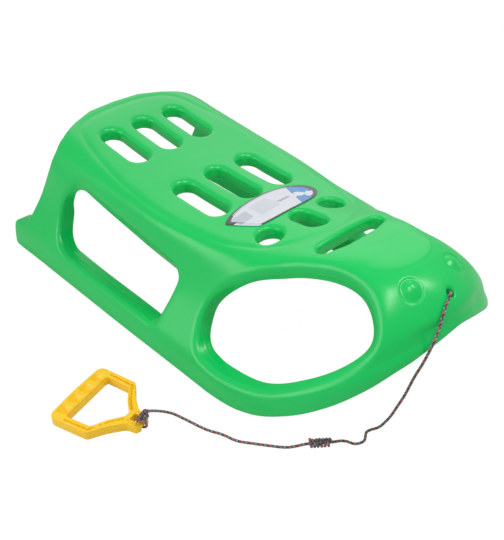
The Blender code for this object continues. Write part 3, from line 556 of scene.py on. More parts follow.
def ring_faces(rings, size):
    """Quads between neighbouring rings of points; the last point of a ring joins its first."""
    i, j = np.meshgrid(np.arange(rings - 1), np.arange(size), indexing="ij")
    on = (j + 1) % size
    return np.stack((i * size + j, i * size + on, (i + 1) * size + on, (i + 1) * size + j), -1).reshape(-1, 4)


def end_faces(rings, size):
    """The first ring turned round and the last ring, which close the form between them."""
    return [list(range(size))[::-1], list(range((rings - 1) * size, rings * size))]


def braid_relief(u, v):
    """Small rise where a strand passes over: the product of the two families' half waves."""
    lean = v * BRAID_STRANDS
    along = u / BRAID_PITCH * BRAID_STRANDS
    return BRAID_LIFT * (np.abs(np.sin(pi * (lean + along))) * np.abs(np.sin(pi * (lean - along))) * 2 - 1)


def braided_tube(name, path, sides):
    """Grid carried along a path: row i is a ring about path[i], column j an angle round it.

    UV is (metres along, share of a turn round), which also give the braid's rise.
    """
    first, second = frames_along(path)
    run = length_along(path)
    share = np.arange(sides) / sides
    size = CORD / 2 - BRAID_LIFT + braid_relief(run[:, None], share[None, :])
    angle = 2 * pi * share
    ring = first[:, None] * np.cos(angle)[None, :, None] + second[:, None] * np.sin(angle)[None, :, None]
    verts = (path[:, None] + ring * size[..., None]).reshape(-1, 3)
    faces = ring_faces(len(path), sides)[:, ::-1].tolist() + end_faces(len(path), sides)
    row = np.repeat(np.arange(len(path) - 1), sides)
    column = np.tile(np.arange(sides), len(path) - 1)
    corners = np.stack([np.stack((run[row + down], (column + over) / sides), -1)
                        for down, over in ((1, 0), (1, 1), (0, 1), (0, 0))], 1)
    end_uv = [np.stack((np.full(sides, run[k]), share), -1) for k in (0, -1)]
    uv = np.concatenate((corners.reshape(-1, 2), *end_uv))
    return put(name, verts, faces, "braided_cord", uv)


CORD_LINE, CORD_LENGTH = through(ROUTE, CORD_STEP)
cord = braided_tube("cord_braid", CORD_LINE, CORD_SIDES)
print("cord:", round(CORD_LENGTH * 1000), "mm,", len(cord.data.polygons), "faces")


# %% Knots
KNOT_SWELL, KNOT_SWELL_LEVEL = 0.0004, 0.6
KNOT_SWAY, KNOT_SWAY_RATE = 0.0003, 2.6
TURN_POINTS, LEAD_POINTS, LOOP_POINTS = 36, 5, 49


def wraps(centre, axis, side, turns, swell=0.0, sway=0.0):
    """Helix of a cord's wraps round an axis: angle grows evenly, the axis place with it.

    The radius swells in the middle by a half wave; sway tilts alternate turns a little.
    """
    centre, axis = np.array(centre, float), np.array(axis, float)
    axis = axis / np.linalg.norm(axis)
    side = np.array(side, float) - axis * np.dot(axis, side)
    side /= np.linalg.norm(side)
    across = np.cross(axis, side)
    angle = np.linspace(0, 2 * pi * turns, int(TURN_POINTS * turns) + 1)
    share = angle / angle[-1]
    radius = WRAP_RADIUS + swell * (np.sin(pi * share) - KNOT_SWELL_LEVEL)
    place = WRAP_PITCH * (angle / (2 * pi) - turns / 2) + sway * np.sin(KNOT_SWAY_RATE * angle)
    helix = (centre + axis * place[:, None] + side * (radius * np.cos(angle))[:, None]
             + across * (radius * np.sin(angle))[:, None])
    start = helix[0] - helix[1]
    finish = helix[-1] - helix[-2]
    steps = np.linspace(1, 0, LEAD_POINTS)[:-1, None] * CORD
    return np.concatenate((helix[0] + start / np.linalg.norm(start) * steps, helix,
                           helix[-1] + finish / np.linalg.norm(finish) * steps[::-1]))


def make_knots():
    """Stop knot under the nose, barrel knot on the floor, knot and loop at the handle's eye."""
    swing = (-sin(HANDLE_TURN), cos(HANDLE_TURN), 0)
    barrel = (BARREL_AT[0] - MIDDLE, BARREL_AT[1], BARREL_HEIGHT)
    lines = {
        "stop_knot": wraps(STOP_PLACE, HOLE_AXIS, (0, 1, 0), STOP_TURNS),
        "barrel_knot": wraps(barrel, (*BARREL_AXIS, 0), (0, 0, 1), BARREL_TURNS, KNOT_SWELL, KNOT_SWAY),
        "eye_knot": wraps(handle_place(EYE_KNOT), swing, (0, 0, 1), EYE_TURNS, sway=KNOT_SWAY)}
    open_from, open_to = KNOT_ANGLE + LOOP_OPEN / 2, KNOT_ANGLE + 2 * pi - LOOP_OPEN / 2
    angles = np.linspace(open_from, open_to, LOOP_POINTS)
    loop = np.stack((np.cos(angles), 0 * angles, np.sin(angles)), -1) * LOOP_RADIUS
    away = loop[[0, -1]] - EYE_KNOT
    ends = EYE_KNOT + away / np.linalg.norm(away, axis=1)[:, None] * (WRAP_RADIUS + CORD / 2 + GAP)
    lines["eye_loop"] = handle_place(np.concatenate((ends[:1], loop, ends[1:])))
    made = []
    for node, line in lines.items():
        piece = braided_tube(node + "_braid", line, KNOT_SIDES)
        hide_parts(node)
        made.append(piece)
    return made


knots = make_knots()
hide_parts("pull_cord")
print("knots:", [piece.name for piece in knots])

# %% [markdown]
# Now the shell itself, which is most of the sled.  It could be cut from a thick sheet with
# Booleans, but rims and soft corners would be poor.  Instead its outline and openings are drawn
# in the flat plane, the plane between them is filled with even triangles, and the whole is lifted
# into space twice, for the outer and the inner face.  Rows of points down each opening's wall
# join the two and give every rim its rounding.  Small forms, such as the groove round the seat
# and the round studs on the nose, are a height added before lifting.

# %% Sizes of the openings
REAR_EDGE = np.array(((0.0, 0.029), (0.05, 0.032), (0.09, 0.048), (0.1265, 0.0670), (0.1516, 0.0730),
                      (0.1813, 0.0680), (0.2227, 0.0535), (0.2624, 0.042), (0.2917, 0.034), (0.30, 0.032)))
BLOCK_TALL, BLOCK_ROUND = 0.048, 0.008
SLOT_WIDTH, SLOT_GAP = 0.036, 0.063
LONG_SLOTS = ((0.150, 0.102), (0.337, 0.106))
FRONT_HOLE_AT, FRONT_HOLE_OUT, FRONT_HOLE_RADIUS = 0.483, 0.062, 0.018
SHORT_SLOT_AT, SHORT_SLOT_LENGTH, SHORT_SLOT_WIDTH = 0.497, 0.058, 0.032
CROSS_SLOT_REAR, CROSS_SLOT_FRONT, CROSS_SLOT_HALF, CROSS_SLOT_BOW = 0.5655, 0.583, 0.0615, 0.0085
CROSS_SLOT_CORNER, CROSS_SLOT_BEND = 0.010, 0.05
# A round end's radius as a share of half the width: just short, so that a straight side is left
ROUND_END = 0.999
WINDOW = ((0.1428, 0.1611, 0.032), (0.3929, 0.1861, 0.022), (0.3833, 0.2874, 0.014),
          (0.1276, 0.2981, 0.040), (0.1047, 0.234, 0.080))
HAND_HOLE = ((0.4604, 0.1989), (0.4946, 0.1456), (0.5484, 0.1008), (0.6137, 0.077), (0.6699, 0.0776),
             (0.7187, 0.1046), (0.7219, 0.1469), (0.6852, 0.2015), (0.6309, 0.2486), (0.5505, 0.2796),
             (0.4871, 0.2802), (0.4612, 0.2467))
# Radius of each kind of rim
EDGE_RIM, SLOT_RIM, NOSE_HOLE_RIM, WINDOW_RIM, HAND_HOLE_RIM = 0.004, 0.008, 0.0045, 0.007, 0.009
# Spacing of points on rims, on the nose hole's rim and over the faces
EDGE_GRAIN, NOSE_HOLE_GRAIN, FACE_GRAIN = 0.0028, 0.0013, 0.0036
FAN_POINTS, FOOT_FROM, FOOT_STEP, FOOT_SHORT = 121, 0.05, 0.025, 0.01
LEAST_PIECES, LOOP_PIECES = 12, 40
# A corner this nearly straight is left as it is; the half angle between its sides
STRAIGHT = radians(89.5)
print("openings:", 3 * len(LONG_SLOTS) + 2 + 1 + 1 + 1 + 4)


# %% Outlines in the flat plane
def spaced(points, step):
    """Closed polygon cut into even pieces about one step long."""
    closed = np.concatenate((points, points[:1]))
    run = np.concatenate(([0], np.hypot(*np.diff(closed, axis=0).T).cumsum()))
    count = max(LEAST_PIECES, int(round(run[-1] / step)))
    even = np.linspace(0, run[-1], count, endpoint=False)
    return np.stack([np.interp(even, run, closed[:, k]) for k in range(2)], 1)


def rounded(corners, step):
    """Closed polygon whose corners (a, b, radius) are turned into arcs tangent to both sides."""
    points = []
    for i, (a, b, radius) in enumerate(corners):
        here = np.array((a, b))
        back = np.array(corners[i - 1][:2]) - here
        on = np.array(corners[(i + 1) % len(corners)][:2]) - here
        back, on = back / hypot(*back), on / hypot(*on)
        half = 0.5 * np.arccos(np.clip(back @ on, -1, 1))
        if radius == 0 or half > STRAIGHT:
            points.append(here[None])
            continue
        middle = here + (back + on) / hypot(*(back + on)) * radius / sin(half)
        enter, leave = here + back * radius / tan(half) - middle, here + on * radius / tan(half) - middle
        sweep = pi - 2 * half
        share = np.linspace(0, 1, max(3, int(radius * sweep / step * 2)))[:, None]
        arc = (enter * np.sin((1 - share) * sweep) + leave * np.sin(share * sweep)) / sin(sweep)
        points.append(middle + arc)
    return spaced(np.concatenate(points), step)


def smooth_loop(points, step):
    """Closed cubic with even curvature through a few points: slopes from one cyclic system."""
    points = np.array(points)
    ring = np.eye(len(points))
    pull = 4 * ring + np.roll(ring, 1, 0) + np.roll(ring, -1, 0)
    before, after = np.roll(points, 1, 0), np.roll(points, -1, 0)
    slope = np.linalg.solve(pull, 3 * (after - before))
    t = np.linspace(0, 1, LOOP_PIECES, endpoint=False)[None, :, None]
    line = cubic(t, 1, points[:, None], slope[:, None], after[:, None], np.roll(slope, -1, 0)[:, None])
    return spaced(line.reshape(-1, 2), step)


def straight_slot(at, out, length, width):
    """Corners of a round-ended opening along the sled."""
    a, b, r = length / 2, width / 2, width / 2 * ROUND_END
    return [(at + i * a, out + j * b, r) for i, j in ((-1, -1), (1, -1), (1, 1), (-1, 1))]


def mirrored(points):
    """The same points on the other side, in the order that keeps an outline going round."""
    return [(p[0], -p[1], *p[2:]) for p in reversed(points)]


def shell_outline(step):
    """Outer edge laid flat: runners' feet, the fan's rim round the nose, blocks and rear edge."""
    foot = float(girth(0.0))
    left = [(0.0, foot, BLOCK_ROUND), (0.0, foot - BLOCK_TALL, BLOCK_ROUND),
            (REAR_EDGE[-1, 1], foot - BLOCK_TALL, BLOCK_ROUND)]
    left += [(a, b, 0) for b, a in REAR_EDGE[::-1][1:]]
    right = [(a, -b, r) for a, b, r in reversed(left[:-1])]
    angle = np.linspace(-pi / 2, pi / 2, FAN_POINTS)
    reach = girth(FAN_CENTRE + HALF_WIDTH * (pi / 2 - np.abs(angle)))
    fan = [(FAN_CENTRE + r * cos(t), r * sin(t), 0) for r, t in zip(reach, angle)]
    feet = [(a, -float(girth(a)), 0) for a in np.arange(FOOT_FROM, FAN_CENTRE - FOOT_SHORT, FOOT_STEP)]
    return rounded(left + right + feet + fan + mirrored(feet), step)


def slot_corners():
    """Corners of every opening of the seat: long slots, round holes, short slot, cross slot."""
    slots = [straight_slot(at, out, length, SLOT_WIDTH)
             for at, length in LONG_SLOTS for out in (-SLOT_GAP, 0, SLOT_GAP)]
    slots += [straight_slot(FRONT_HOLE_AT, out, 2 * FRONT_HOLE_RADIUS, 2 * FRONT_HOLE_RADIUS)
              for out in (-FRONT_HOLE_OUT, FRONT_HOLE_OUT)]
    slots.append(straight_slot(SHORT_SLOT_AT, 0, SHORT_SLOT_LENGTH, SHORT_SLOT_WIDTH))
    half = [(CROSS_SLOT_REAR, -CROSS_SLOT_HALF, CROSS_SLOT_CORNER),
            (CROSS_SLOT_FRONT, -CROSS_SLOT_HALF, CROSS_SLOT_CORNER),
            (CROSS_SLOT_FRONT + CROSS_SLOT_BOW, -CROSS_SLOT_HALF / 2, CROSS_SLOT_BEND)]
    return slots + [half + mirrored(half)]


SLOTS = slot_corners()
NOSE_HOLE = straight_slot(NOSE_HOLE_AT, 0, 2 * NOSE_HOLE_RADIUS, 2 * NOSE_HOLE_RADIUS)
LOOPS = [shell_outline(EDGE_GRAIN)] + [rounded(corners, EDGE_GRAIN) for corners in SLOTS]
LOOPS.append(rounded(NOSE_HOLE, NOSE_HOLE_GRAIN))
LOOPS += [rounded(corners, EDGE_GRAIN) for corners in (WINDOW, mirrored(WINDOW))]
LOOPS += [smooth_loop(points, EDGE_GRAIN) for points in (HAND_HOLE, mirrored(HAND_HOLE))]
ROUNDINGS = [EDGE_RIM] + [SLOT_RIM] * len(SLOTS) + [NOSE_HOLE_RIM] + [WINDOW_RIM] * 2 + [HAND_HOLE_RIM] * 2
print("outline points:", sum(map(len, LOOPS)))


# %% Small forms on the outer face
SEAT_HALF = ((0.045, 0.0), (0.050, 0.055), (0.068, 0.092), (0.120, 0.112), (0.220, 0.128),
             (0.330, 0.130), (0.430, 0.118), (0.490, 0.093), (0.530, 0.058), (0.548, 0.0))
SEAT_GROOVE_DEEP, SEAT_GROOVE_HALF = 0.0013, 0.0065
# Distance from the groove's line is scaled by these inside and outside it: its outer flank is the
# steep one
GROOVE_INNER, GROOVE_OUTER = 0.55, 1.4
STUD_AT, STUD_OUT = 0.7116, 0.0422
STUD_RADIUS, STUD_DISH, STUD_RISE, STUD_EDGE = 0.0165, 0.0024, 0.0034, 0.0030
DOME_SHARE, DOME_POWER = 0.94, 1.3
BROW_AT, BROW_LONG, BROW_WIDE, BROW_RISE = 0.648, 0.042, 0.056, 0.0006
BROW_FROM, BROW_FULL = 1.03, 0.95
# Crease across the chin, by distance out from the middle: its place, and how deep the hollow is
CREASE = np.array(((0.0, 0.7580, 0.0008), (0.030, 0.7540, 0.0014), (0.050, 0.7490, 0.0022),
                   (0.070, 0.7440, 0.0012), (0.085, 0.7400, 0.0)))
CHIN_REACH = 0.012
# Swells of the shoulders: place along and out, reach, rise
SWELLS = ((0.506, 0.116, 0.026, -0.0034), (0.560, 0.088, 0.024, 0.0024), (0.614, 0.073, 0.034, 0.0038),
          (0.668, 0.072, 0.030, 0.0020), (0.708, 0.086, 0.028, 0.0044))
# Spacing of the seat's line; rows of points that follow the small forms, by their spacing (for
# the brow a count) and by where they lie, as shares of the radius or metres beside the line
SEAT_LINE_GRAIN, SEAT_GRAIN, STUD_GRAIN, BROW_POINTS = 0.004, 0.0035, 0.0022, 110
STUD_RINGS = np.array((0.18, 0.36, 0.54, 0.7, 0.82, 0.9, 0.96, 1.02, 1.1))
SEAT_ROWS = (-0.0045, -0.0022, 0.0, 0.0035, 0.0075)
BROW_RINGS = (0.945, 0.975, 1.005, 1.035)
SEAT_LOOP = smooth_loop([*SEAT_HALF, *mirrored(SEAT_HALF[1:-1])], SEAT_LINE_GRAIN)


def inside(points, loops):
    """True within the first loop and outside the others: an odd number of crossings."""
    odd = np.zeros(len(points), bool)
    for loop in loops:
        for (a0, b0), (a1, b1) in zip(loop, np.roll(loop, -1, 0)):
            if b0 != b1:
                spans = (points[:, 1] >= min(b0, b1)) & (points[:, 1] < max(b0, b1))
                odd ^= spans & (a0 + (points[:, 1] - b0) * (a1 - a0) / (b1 - b0) > points[:, 0])
    return odd


def distance_to(points, loop, closed=True):
    """Distance from each point to the nearest side of a polygon."""
    nearest = np.full(len(points), np.inf)
    ends = np.roll(loop, -1, 0) if closed else loop[1:]
    for start, end in zip(loop, ends):
        side = end - start
        share = np.clip((points - start) @ side / (side @ side), 0, 1)
        nearest = np.minimum(nearest, np.hypot(*(points - start - share[:, None] * side).T))
    return nearest


def relief(flat):
    """Height of the small forms over the plain skin, in metres.

    Seat: a shallow groove along its line, steep outside and gentle inside.  Studs: a dish with a
    dome in it.  Brow: an ellipse raised a little.  Chin: below its crease a hollow that deepens
    as s exp(1 - s).  Swells: bells exp(-(r / reach)^2), the same on both sides.
    """
    shape = flat.shape[:-1]
    flat = flat.reshape(-1, 2)
    stretch = np.where(inside(flat, [SEAT_LOOP]), GROOVE_INNER, GROOVE_OUTER)
    far = distance_to(flat, SEAT_LOOP) * stretch
    height = -SEAT_GROOVE_DEEP * ease(SEAT_GROOVE_HALF, 0.0, far)
    crease, hollow = np.moveaxis(curve_through(CREASE, np.abs(flat[:, 1])), -1, 0)
    below = np.maximum(flat[:, 0] - crease, 0) / CHIN_REACH
    height = height - hollow * below * np.exp(1 - below)
    for place, out, reach, rise in SWELLS:
        square = (flat[:, 0] - place) ** 2 + (np.abs(flat[:, 1]) - out) ** 2
        height = height + rise * np.exp(-square / reach ** 2)
    for side in (-1, 1):
        r = np.hypot(flat[:, 0] - STUD_AT, flat[:, 1] - side * STUD_OUT) / STUD_RADIUS
        dish = -STUD_DISH * ease(STUD_EDGE / STUD_RADIUS, 0, r - 1 + STUD_EDGE / STUD_RADIUS)
        dome = (STUD_DISH + STUD_RISE) * np.cos(pi / 2 * np.clip(r / DOME_SHARE, 0, 1)) ** DOME_POWER
        height = height + dish + dome
    oval = np.hypot((flat[:, 0] - BROW_AT) / BROW_LONG, flat[:, 1] / BROW_WIDE)
    height = height + BROW_RISE * ease(BROW_FROM, BROW_FULL, oval)
    return height.reshape(shape)


print("relief at a stud's middle, mm:", relief(np.array([(STUD_AT, STUD_OUT)]))[0] * 1000)


# %% Filling the plane between the outlines
CHUNK = 256
GRID_CLEAR = 0.62
SAME_POINT = 1e-8
LEAST_ON_RING = 6


def clockwise(loop):
    """True for a loop whose signed area is negative."""
    a, b = loop[:, 0], loop[:, 1]
    return (a * np.roll(b, -1) - b * np.roll(a, -1)).sum() < 0


def lattice(loops, grain):
    """Even triangular lattice over the loops' extent, kept clear of them."""
    edge = np.concatenate(loops)
    low, high = edge.min(0), edge.max(0)
    b = np.arange(low[1], high[1], grain * sin(pi / 3))
    a = np.arange(low[0], high[0], grain)
    points = np.stack((a[None, :] + (np.arange(len(b)) % 2)[:, None] * grain / 2,
                       b[:, None] + 0 * a[None, :]), -1).reshape(-1, 2)
    return points[inside(points, loops)]


def thinned(points, others, gap):
    """Those points that are at least gap away from the others."""
    nearest = np.full(len(points), np.inf)
    for start in range(0, len(others), CHUNK):
        away = points[:, None] - others[None, start:start + CHUNK]
        nearest = np.minimum(nearest, np.hypot(away[..., 0], away[..., 1]).min(1))
    return points[nearest > gap]


def rings(centre, radii, grain):
    """Circles of points about a centre, as many on each as its length asks for."""
    made = []
    for radius in radii:
        count = max(LEAST_ON_RING, int(2 * pi * radius / grain))
        angle = np.linspace(0, 2 * pi, count, endpoint=False)
        made.append(np.array(centre) + radius * np.stack((np.cos(angle), np.sin(angle)), 1))
    return np.concatenate(made)


def offset_loop(loop, offset):
    """A closed polygon moved sideways along its normals."""
    along = np.roll(loop, -1, 0) - np.roll(loop, 1, 0)
    along /= np.hypot(*along.T)[:, None]
    return loop + offset * np.stack((-along[:, 1], along[:, 0]), 1)


def guide_points():
    """Rows of points that follow the sharp lines of the relief, so that its edges are clean."""
    studs = [rings((STUD_AT, side * STUD_OUT), STUD_RADIUS * STUD_RINGS, STUD_GRAIN) for side in (-1, 1)]
    seat = [offset_loop(spaced(SEAT_LOOP, SEAT_GRAIN), offset) for offset in SEAT_ROWS]
    angle = np.linspace(0, 2 * pi, BROW_POINTS, endpoint=False)
    brow = [np.stack((BROW_AT + BROW_LONG * k * np.cos(angle), BROW_WIDE * k * np.sin(angle)), 1)
            for k in BROW_RINGS]
    return np.concatenate(studs), np.concatenate(seat + brow)


def fill(loops, guides, grain):
    """Delaunay triangles over the material between loops; the loops' points come first.

    guides: (points, gap) pairs; of each, the points at least gap away from the loops are kept.
    """
    edge = np.concatenate(loops)
    kept = [thinned(points[inside(points, loops)], edge, gap) for points, gap in guides]
    fixed = np.concatenate([edge] + kept)
    grid = thinned(lattice(loops, grain), fixed, GRID_CLEAR * grain)
    points = np.concatenate((fixed, grid))
    starts = np.cumsum([0] + [len(loop) for loop in loops])
    sides = [(int(s + i), int(s + (i + 1) % len(loop)))
             for s, loop in zip(starts, loops) for i in range(len(loop))]
    done = delaunay_2d_cdt([Vector(p) for p in points], sides, [], 0, SAME_POINT)
    place = np.array([old[0] for old in done[3]])
    faces = place[np.array(done[2])]
    corner = points[faces]
    ahead, across = corner[:, 1] - corner[:, 0], corner[:, 2] - corner[:, 0]
    turned = ahead[:, 0] * across[:, 1] - ahead[:, 1] * across[:, 0] < 0
    faces[turned] = faces[turned][:, ::-1]
    return points, faces[inside(corner.mean(1), loops)]


print("filling helpers ready")

# %% A plate with rounded rims, in any curved frame
RIM_ROWS = 7
# Rows down a wall: share of its height, and 1 where the seam's line stands out
WALL_ROWS = ((0.22, 0), (0.44, 0), (0.47, 1), (0.53, 1), (0.56, 0), (0.78, 0))


def plate(loops, roundings, foot, guides, grain, lift, top, bottom, seam):
    """Two faces over the same flat triangles, and down each opening rows of points that join them.

    lift(flat, depth) puts flat points in space; top and bottom give the two faces' depths.  A rim
    row at angle q lies R (1 - sin q) inside the material and R (1 - cos q) deep: a quarter circle
    from the face to the opening's wall.  Another, of radius foot, ends the wall at the far face.
    seam: how far a thin line stands out of the wall half way down.
    """
    loops = [loop[::-1] if clockwise(loop) == (k == 0) else loop for k, loop in enumerate(loops)]
    face_loops = [offset_loop(loop, radius) for loop, radius in zip(loops, roundings)]
    points, triangles = fill(face_loops, guides, grain)
    verts = [lift(points, top(points)), lift(points, bottom(points))]
    count = len(points)
    faces = [triangles, triangles[:, ::-1] + count]
    start, total = 0, 2 * count
    quarter = np.linspace(0, pi / 2, RIM_ROWS)[1:]
    for loop, face_loop, radius in zip(loops, face_loops, roundings):
        size = len(loop)
        here, deep = top(face_loop), bottom(face_loop)
        rows = [start + np.arange(size)]
        steps = [(1 - sin(q), here + radius * (1 - cos(q))) for q in quarter]
        wall_from, wall_to = here + radius, deep - foot
        for share, out in WALL_ROWS:
            steps.append((-seam / radius * out, wall_from + (wall_to - wall_from) * share))
        steps += [((1 - sin(q)) * foot / radius, deep - foot * (1 - cos(q))) for q in quarter[::-1]]
        for share, depth in steps:
            verts.append(lift(loop + (face_loop - loop) * share, depth))
            rows.append(total + np.arange(size))
            total += size
        rows.append(count + start + np.arange(size))
        for over, under in zip(rows, rows[1:]):
            faces.append(np.stack((np.roll(over, -1), over, under), 1))
            faces.append(np.stack((np.roll(over, -1), under, np.roll(under, -1)), 1))
        start += size
    return np.concatenate(verts), np.concatenate(faces).tolist()


SHELL_FOOT, SHELL_SEAM = 0.004, 0.0001
STUD_CLEAR, LINE_CLEAR = 0.0012, 0.0018


def make_shell():
    """The green shell, with its small forms raised on the outer face."""
    studs, lines = guide_points()
    guides = ((studs, STUD_CLEAR), (lines, LINE_CLEAR))
    shape = plate(LOOPS, ROUNDINGS, SHELL_FOOT, guides, FACE_GRAIN, skin,
                  lambda flat: -relief(flat), wall, SHELL_SEAM)
    shell = put("sled_shell", *shape, slot="green_shell")
    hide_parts("sled_body")
    return shell


shell = make_shell()
print("shell:", len(shell.data.polygons), "triangles")

# %% [markdown]
# The grip handle is the same kind of body, only flat: five sides, a solid grip with four sloping
# pockets, and legs like a rail, with a groove down the middle of both faces.  The same plate
# serves, with a plain frame in place of the curved skin and its own heights for the two faces.

# %% The grip handle
HANDLE_TALL, HANDLE_HIGH = 0.015, 0.0045
GRIP_END, GRIP_BOW, GRIP_WIDE, GRIP_HALF = -0.1125, 0.003, 0.020, 0.056
SHOULDER_AT, SHOULDER_HALF, SHOULDER_BACK = -0.050, 0.0545, 0.003
LEG_WIDE, LEG_SAG, THROAT_HALF = 0.012, 0.0022, 0.004
EYE_BAR, EYE_LONG, EYE_HALF, EYE_CHEEK, EYE_TAPER = 0.0035, 0.012, 0.006, 0.0085, 0.002
EYE_FAR, EYE_SIDE = -EYE_BAR - EYE_LONG, EYE_HALF + EYE_CHEEK
# Corner radii: outline and opening from the grip towards the eye, the grip's bow, the eye
OUTER_ROUNDS, INNER_ROUNDS = (0.010, 0.008, 0.05, 0.012, 0.006), (0.003, 0.004, 0.05, 0.003)
BOW_ROUND, EYE_ROUND = 0.7, 0.001
FINGERS, FINGER_PITCH, POCKET_HALF, POCKET_SLOPE, POCKET_DEEP = 4, 0.0235, 0.0084, 0.0066, 0.0075
POCKET_POWER = 5
# Grooves of the legs: from past the grip, bent at the shoulder, to short of and beside the eye
GROOVE_START, GROOVE_BEND, GROOVE_STOP, GROOVE_OUT = 0.004, 0.001, 0.008, 0.004
GROOVE_HALF, GROOVE_DEEP, GROOVE_BLUR = 0.0014, 0.0045, 0.0004
QUARTERS = (0.25, 0.5, 0.75)
# Ring of ribs round the eye: rise and fall by distance, the ribs' flanks by cosine, how far
# beside the bar they begin
RIB_DEEP, RIBS, RIB_FLANK = 0.0022, 12, (0.55, 0.75)
RING_RISE, RING_FALL = (0.0091, 0.0096), (0.0122, 0.0117)
RIB_BESIDE = (EYE_HALF + 0.0008, EYE_HALF + 0.0014)
BAR_SUNK, BAR_BLUR = 0.001, 0.0005
EYE_LIFT, LIFT_FROM, LIFT_FULL = 0.002, -0.001, 0.0005
HANDLE_RIMS, HANDLE_FOOT, HANDLE_SEAM = (0.0013, 0.0013, 0.0008), 0.0010, 0.00015
# Spacing on faces and rims, on the eye's rim and where the face is steep; steep means at least
# this change of depth over a fine step; those points stay clear of the rims by the last number
HANDLE_GRAIN, EYE_GRAIN, FINE_GRAIN = 0.0014, 0.0008, 0.0005
STEEP, FINE_CLEAR = 0.0001, 0.0015


def sagged(start, end, share=0.5, sag=LEG_SAG):
    """Point part of the way along a leg, moved towards the handle's middle line."""
    start, end = np.array(start), np.array(end)
    along = (end - start) / hypot(*(end - start))
    return start + (end - start) * share + sag * np.array((-along[1], along[0]))


def handle_loops():
    """Outline of the handle, the opening between grip and legs, and the eye."""
    outer = ((SHOULDER_AT, -SHOULDER_HALF), (EYE_FAR, -EYE_SIDE))
    points = ((GRIP_END, -GRIP_HALF), outer[0], sagged(*outer), outer[1], (EYE_BAR, EYE_TAPER - EYE_SIDE))
    half = [(*point, radius) for point, radius in zip(points, OUTER_ROUNDS)]
    outline = rounded(half + mirrored(half) + [(GRIP_END - GRIP_BOW, 0.0, BOW_ROUND)], HANDLE_GRAIN)
    inner = ((SHOULDER_AT - SHOULDER_BACK, LEG_WIDE - SHOULDER_HALF), (EYE_FAR - EYE_CHEEK, -THROAT_HALF))
    points = ((GRIP_END + GRIP_WIDE, LEG_WIDE - GRIP_HALF), inner[0], sagged(*inner), inner[1])
    half = [(*point, radius) for point, radius in zip(points, INNER_ROUNDS)]
    opening = rounded(half + mirrored(half), HANDLE_GRAIN)
    half = [(EYE_FAR, -EYE_HALF, EYE_ROUND), (-EYE_BAR, -EYE_HALF, EYE_ROUND)]
    return outline, opening, rounded(half + mirrored(half), EYE_GRAIN)


def groove_lines():
    """Middle lines of the two legs, from the grip's corners to beside the eye."""
    start = (GRIP_END + GRIP_WIDE + GROOVE_START, LEG_WIDE / 2 - GRIP_HALF)
    bend = (SHOULDER_AT - GROOVE_BEND, LEG_WIDE / 2 - SHOULDER_HALF)
    end = (EYE_FAR - GROOVE_STOP, -EYE_HALF - GROOVE_OUT)
    curved = [sagged(bend, end, k, 4 * LEG_SAG * k * (1 - k)) for k in QUARTERS]
    points = np.array([start, bend, *curved, end])
    return points, points * (1, -1)


GROOVES = groove_lines()


def leg_depth(flat):
    """Grooves: a step down where the distance to a leg's middle line is under half a groove."""
    near = np.minimum(*(distance_to(flat, line, False) for line in GROOVES))
    return GROOVE_DEEP * ease(GROOVE_HALF + GROOVE_BLUR, GROOVE_HALF - GROOVE_BLUR, near)


def on_bar(u, w):
    """1 on the eye's bar, 0 off it, eased over its edges."""
    across = ease(EYE_HALF, EYE_HALF - BAR_BLUR, np.abs(w))
    return across * ease(-EYE_BAR - 2 * BAR_BLUR, -EYE_BAR - BAR_BLUR, u)


def handle_top(flat):
    """Upper face: grooves, pockets that slope in like upturned pyramids, ribs round the eye, bar."""
    u, w = flat[..., 0], flat[..., 1]
    depth = leg_depth(flat)
    for k in range(FINGERS):
        across = w - (k - (FINGERS - 1) / 2) * FINGER_PITCH
        reach = np.abs(u - GRIP_END - GRIP_WIDE / 2) ** POCKET_POWER + np.abs(across) ** POCKET_POWER
        out = reach ** (1 / POCKET_POWER)
        depth = depth + POCKET_DEEP * np.clip((POCKET_HALF - out) / POCKET_SLOPE, 0, 1)
    away = np.hypot(u - EYE_FAR - EYE_LONG / 2, w)
    turn = np.arctan2(w, u - EYE_FAR - EYE_LONG / 2)
    ring = ease(*RING_RISE, away) * ease(*RING_FALL, away)
    rib = ease(*RIB_FLANK, np.cos(RIBS * turn))
    depth = np.maximum(depth, RIB_DEEP * ring * (1 - rib) * ease(*RIB_BESIDE, np.abs(w)))
    return np.maximum(depth, BAR_SUNK * on_bar(u, w))


def handle_bottom(flat):
    """Lower face: the same grooves, the front end lifted off the floor, the bar cut free below."""
    u, w = flat[..., 0], flat[..., 1]
    rise = np.maximum(leg_depth(flat), EYE_LIFT * ease(LIFT_FROM, LIFT_FULL, u))
    return HANDLE_TALL - np.maximum(rise, (HANDLE_TALL - HANDLE_HIGH - EYE_BAR) * on_bar(u, w))


def handle_lift(flat, depth):
    """Flat point to world point, depth metres under the handle's upper plane."""
    return handle_place(np.stack((flat[:, 0], flat[:, 1], HANDLE_HIGH - depth * np.ones(len(flat))), -1))


def make_handle():
    """The yellow handle, with fine points wherever its upper face is steep."""
    loops = handle_loops()
    fine = lattice(loops, FINE_GRAIN)
    here = handle_top(fine)
    steps = [np.abs(handle_top(fine + step) - here) for step in ((FINE_GRAIN, 0), (0, FINE_GRAIN))]
    fine = fine[steps[0] + steps[1] > STEEP]
    shape = plate(loops, HANDLE_RIMS, HANDLE_FOOT, ((fine, FINE_CLEAR),), HANDLE_GRAIN, handle_lift,
                  handle_top, handle_bottom, HANDLE_SEAM)
    handle = put("grip_handle", *shape, slot="yellow_handle", body="handle")
    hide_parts("pull_handle")
    return handle


handle = make_handle()
print("handle:", len(handle.data.polygons), "triangles")

# %% [markdown]
# The label is a thin film across the seat.  Its outline is an oval with one corner cut off
# straight.  A polar grid suits it: one parameter goes round, the other from the middle to the
# edge, and the flat place becomes its UV map, so the border can be drawn by the second parameter.

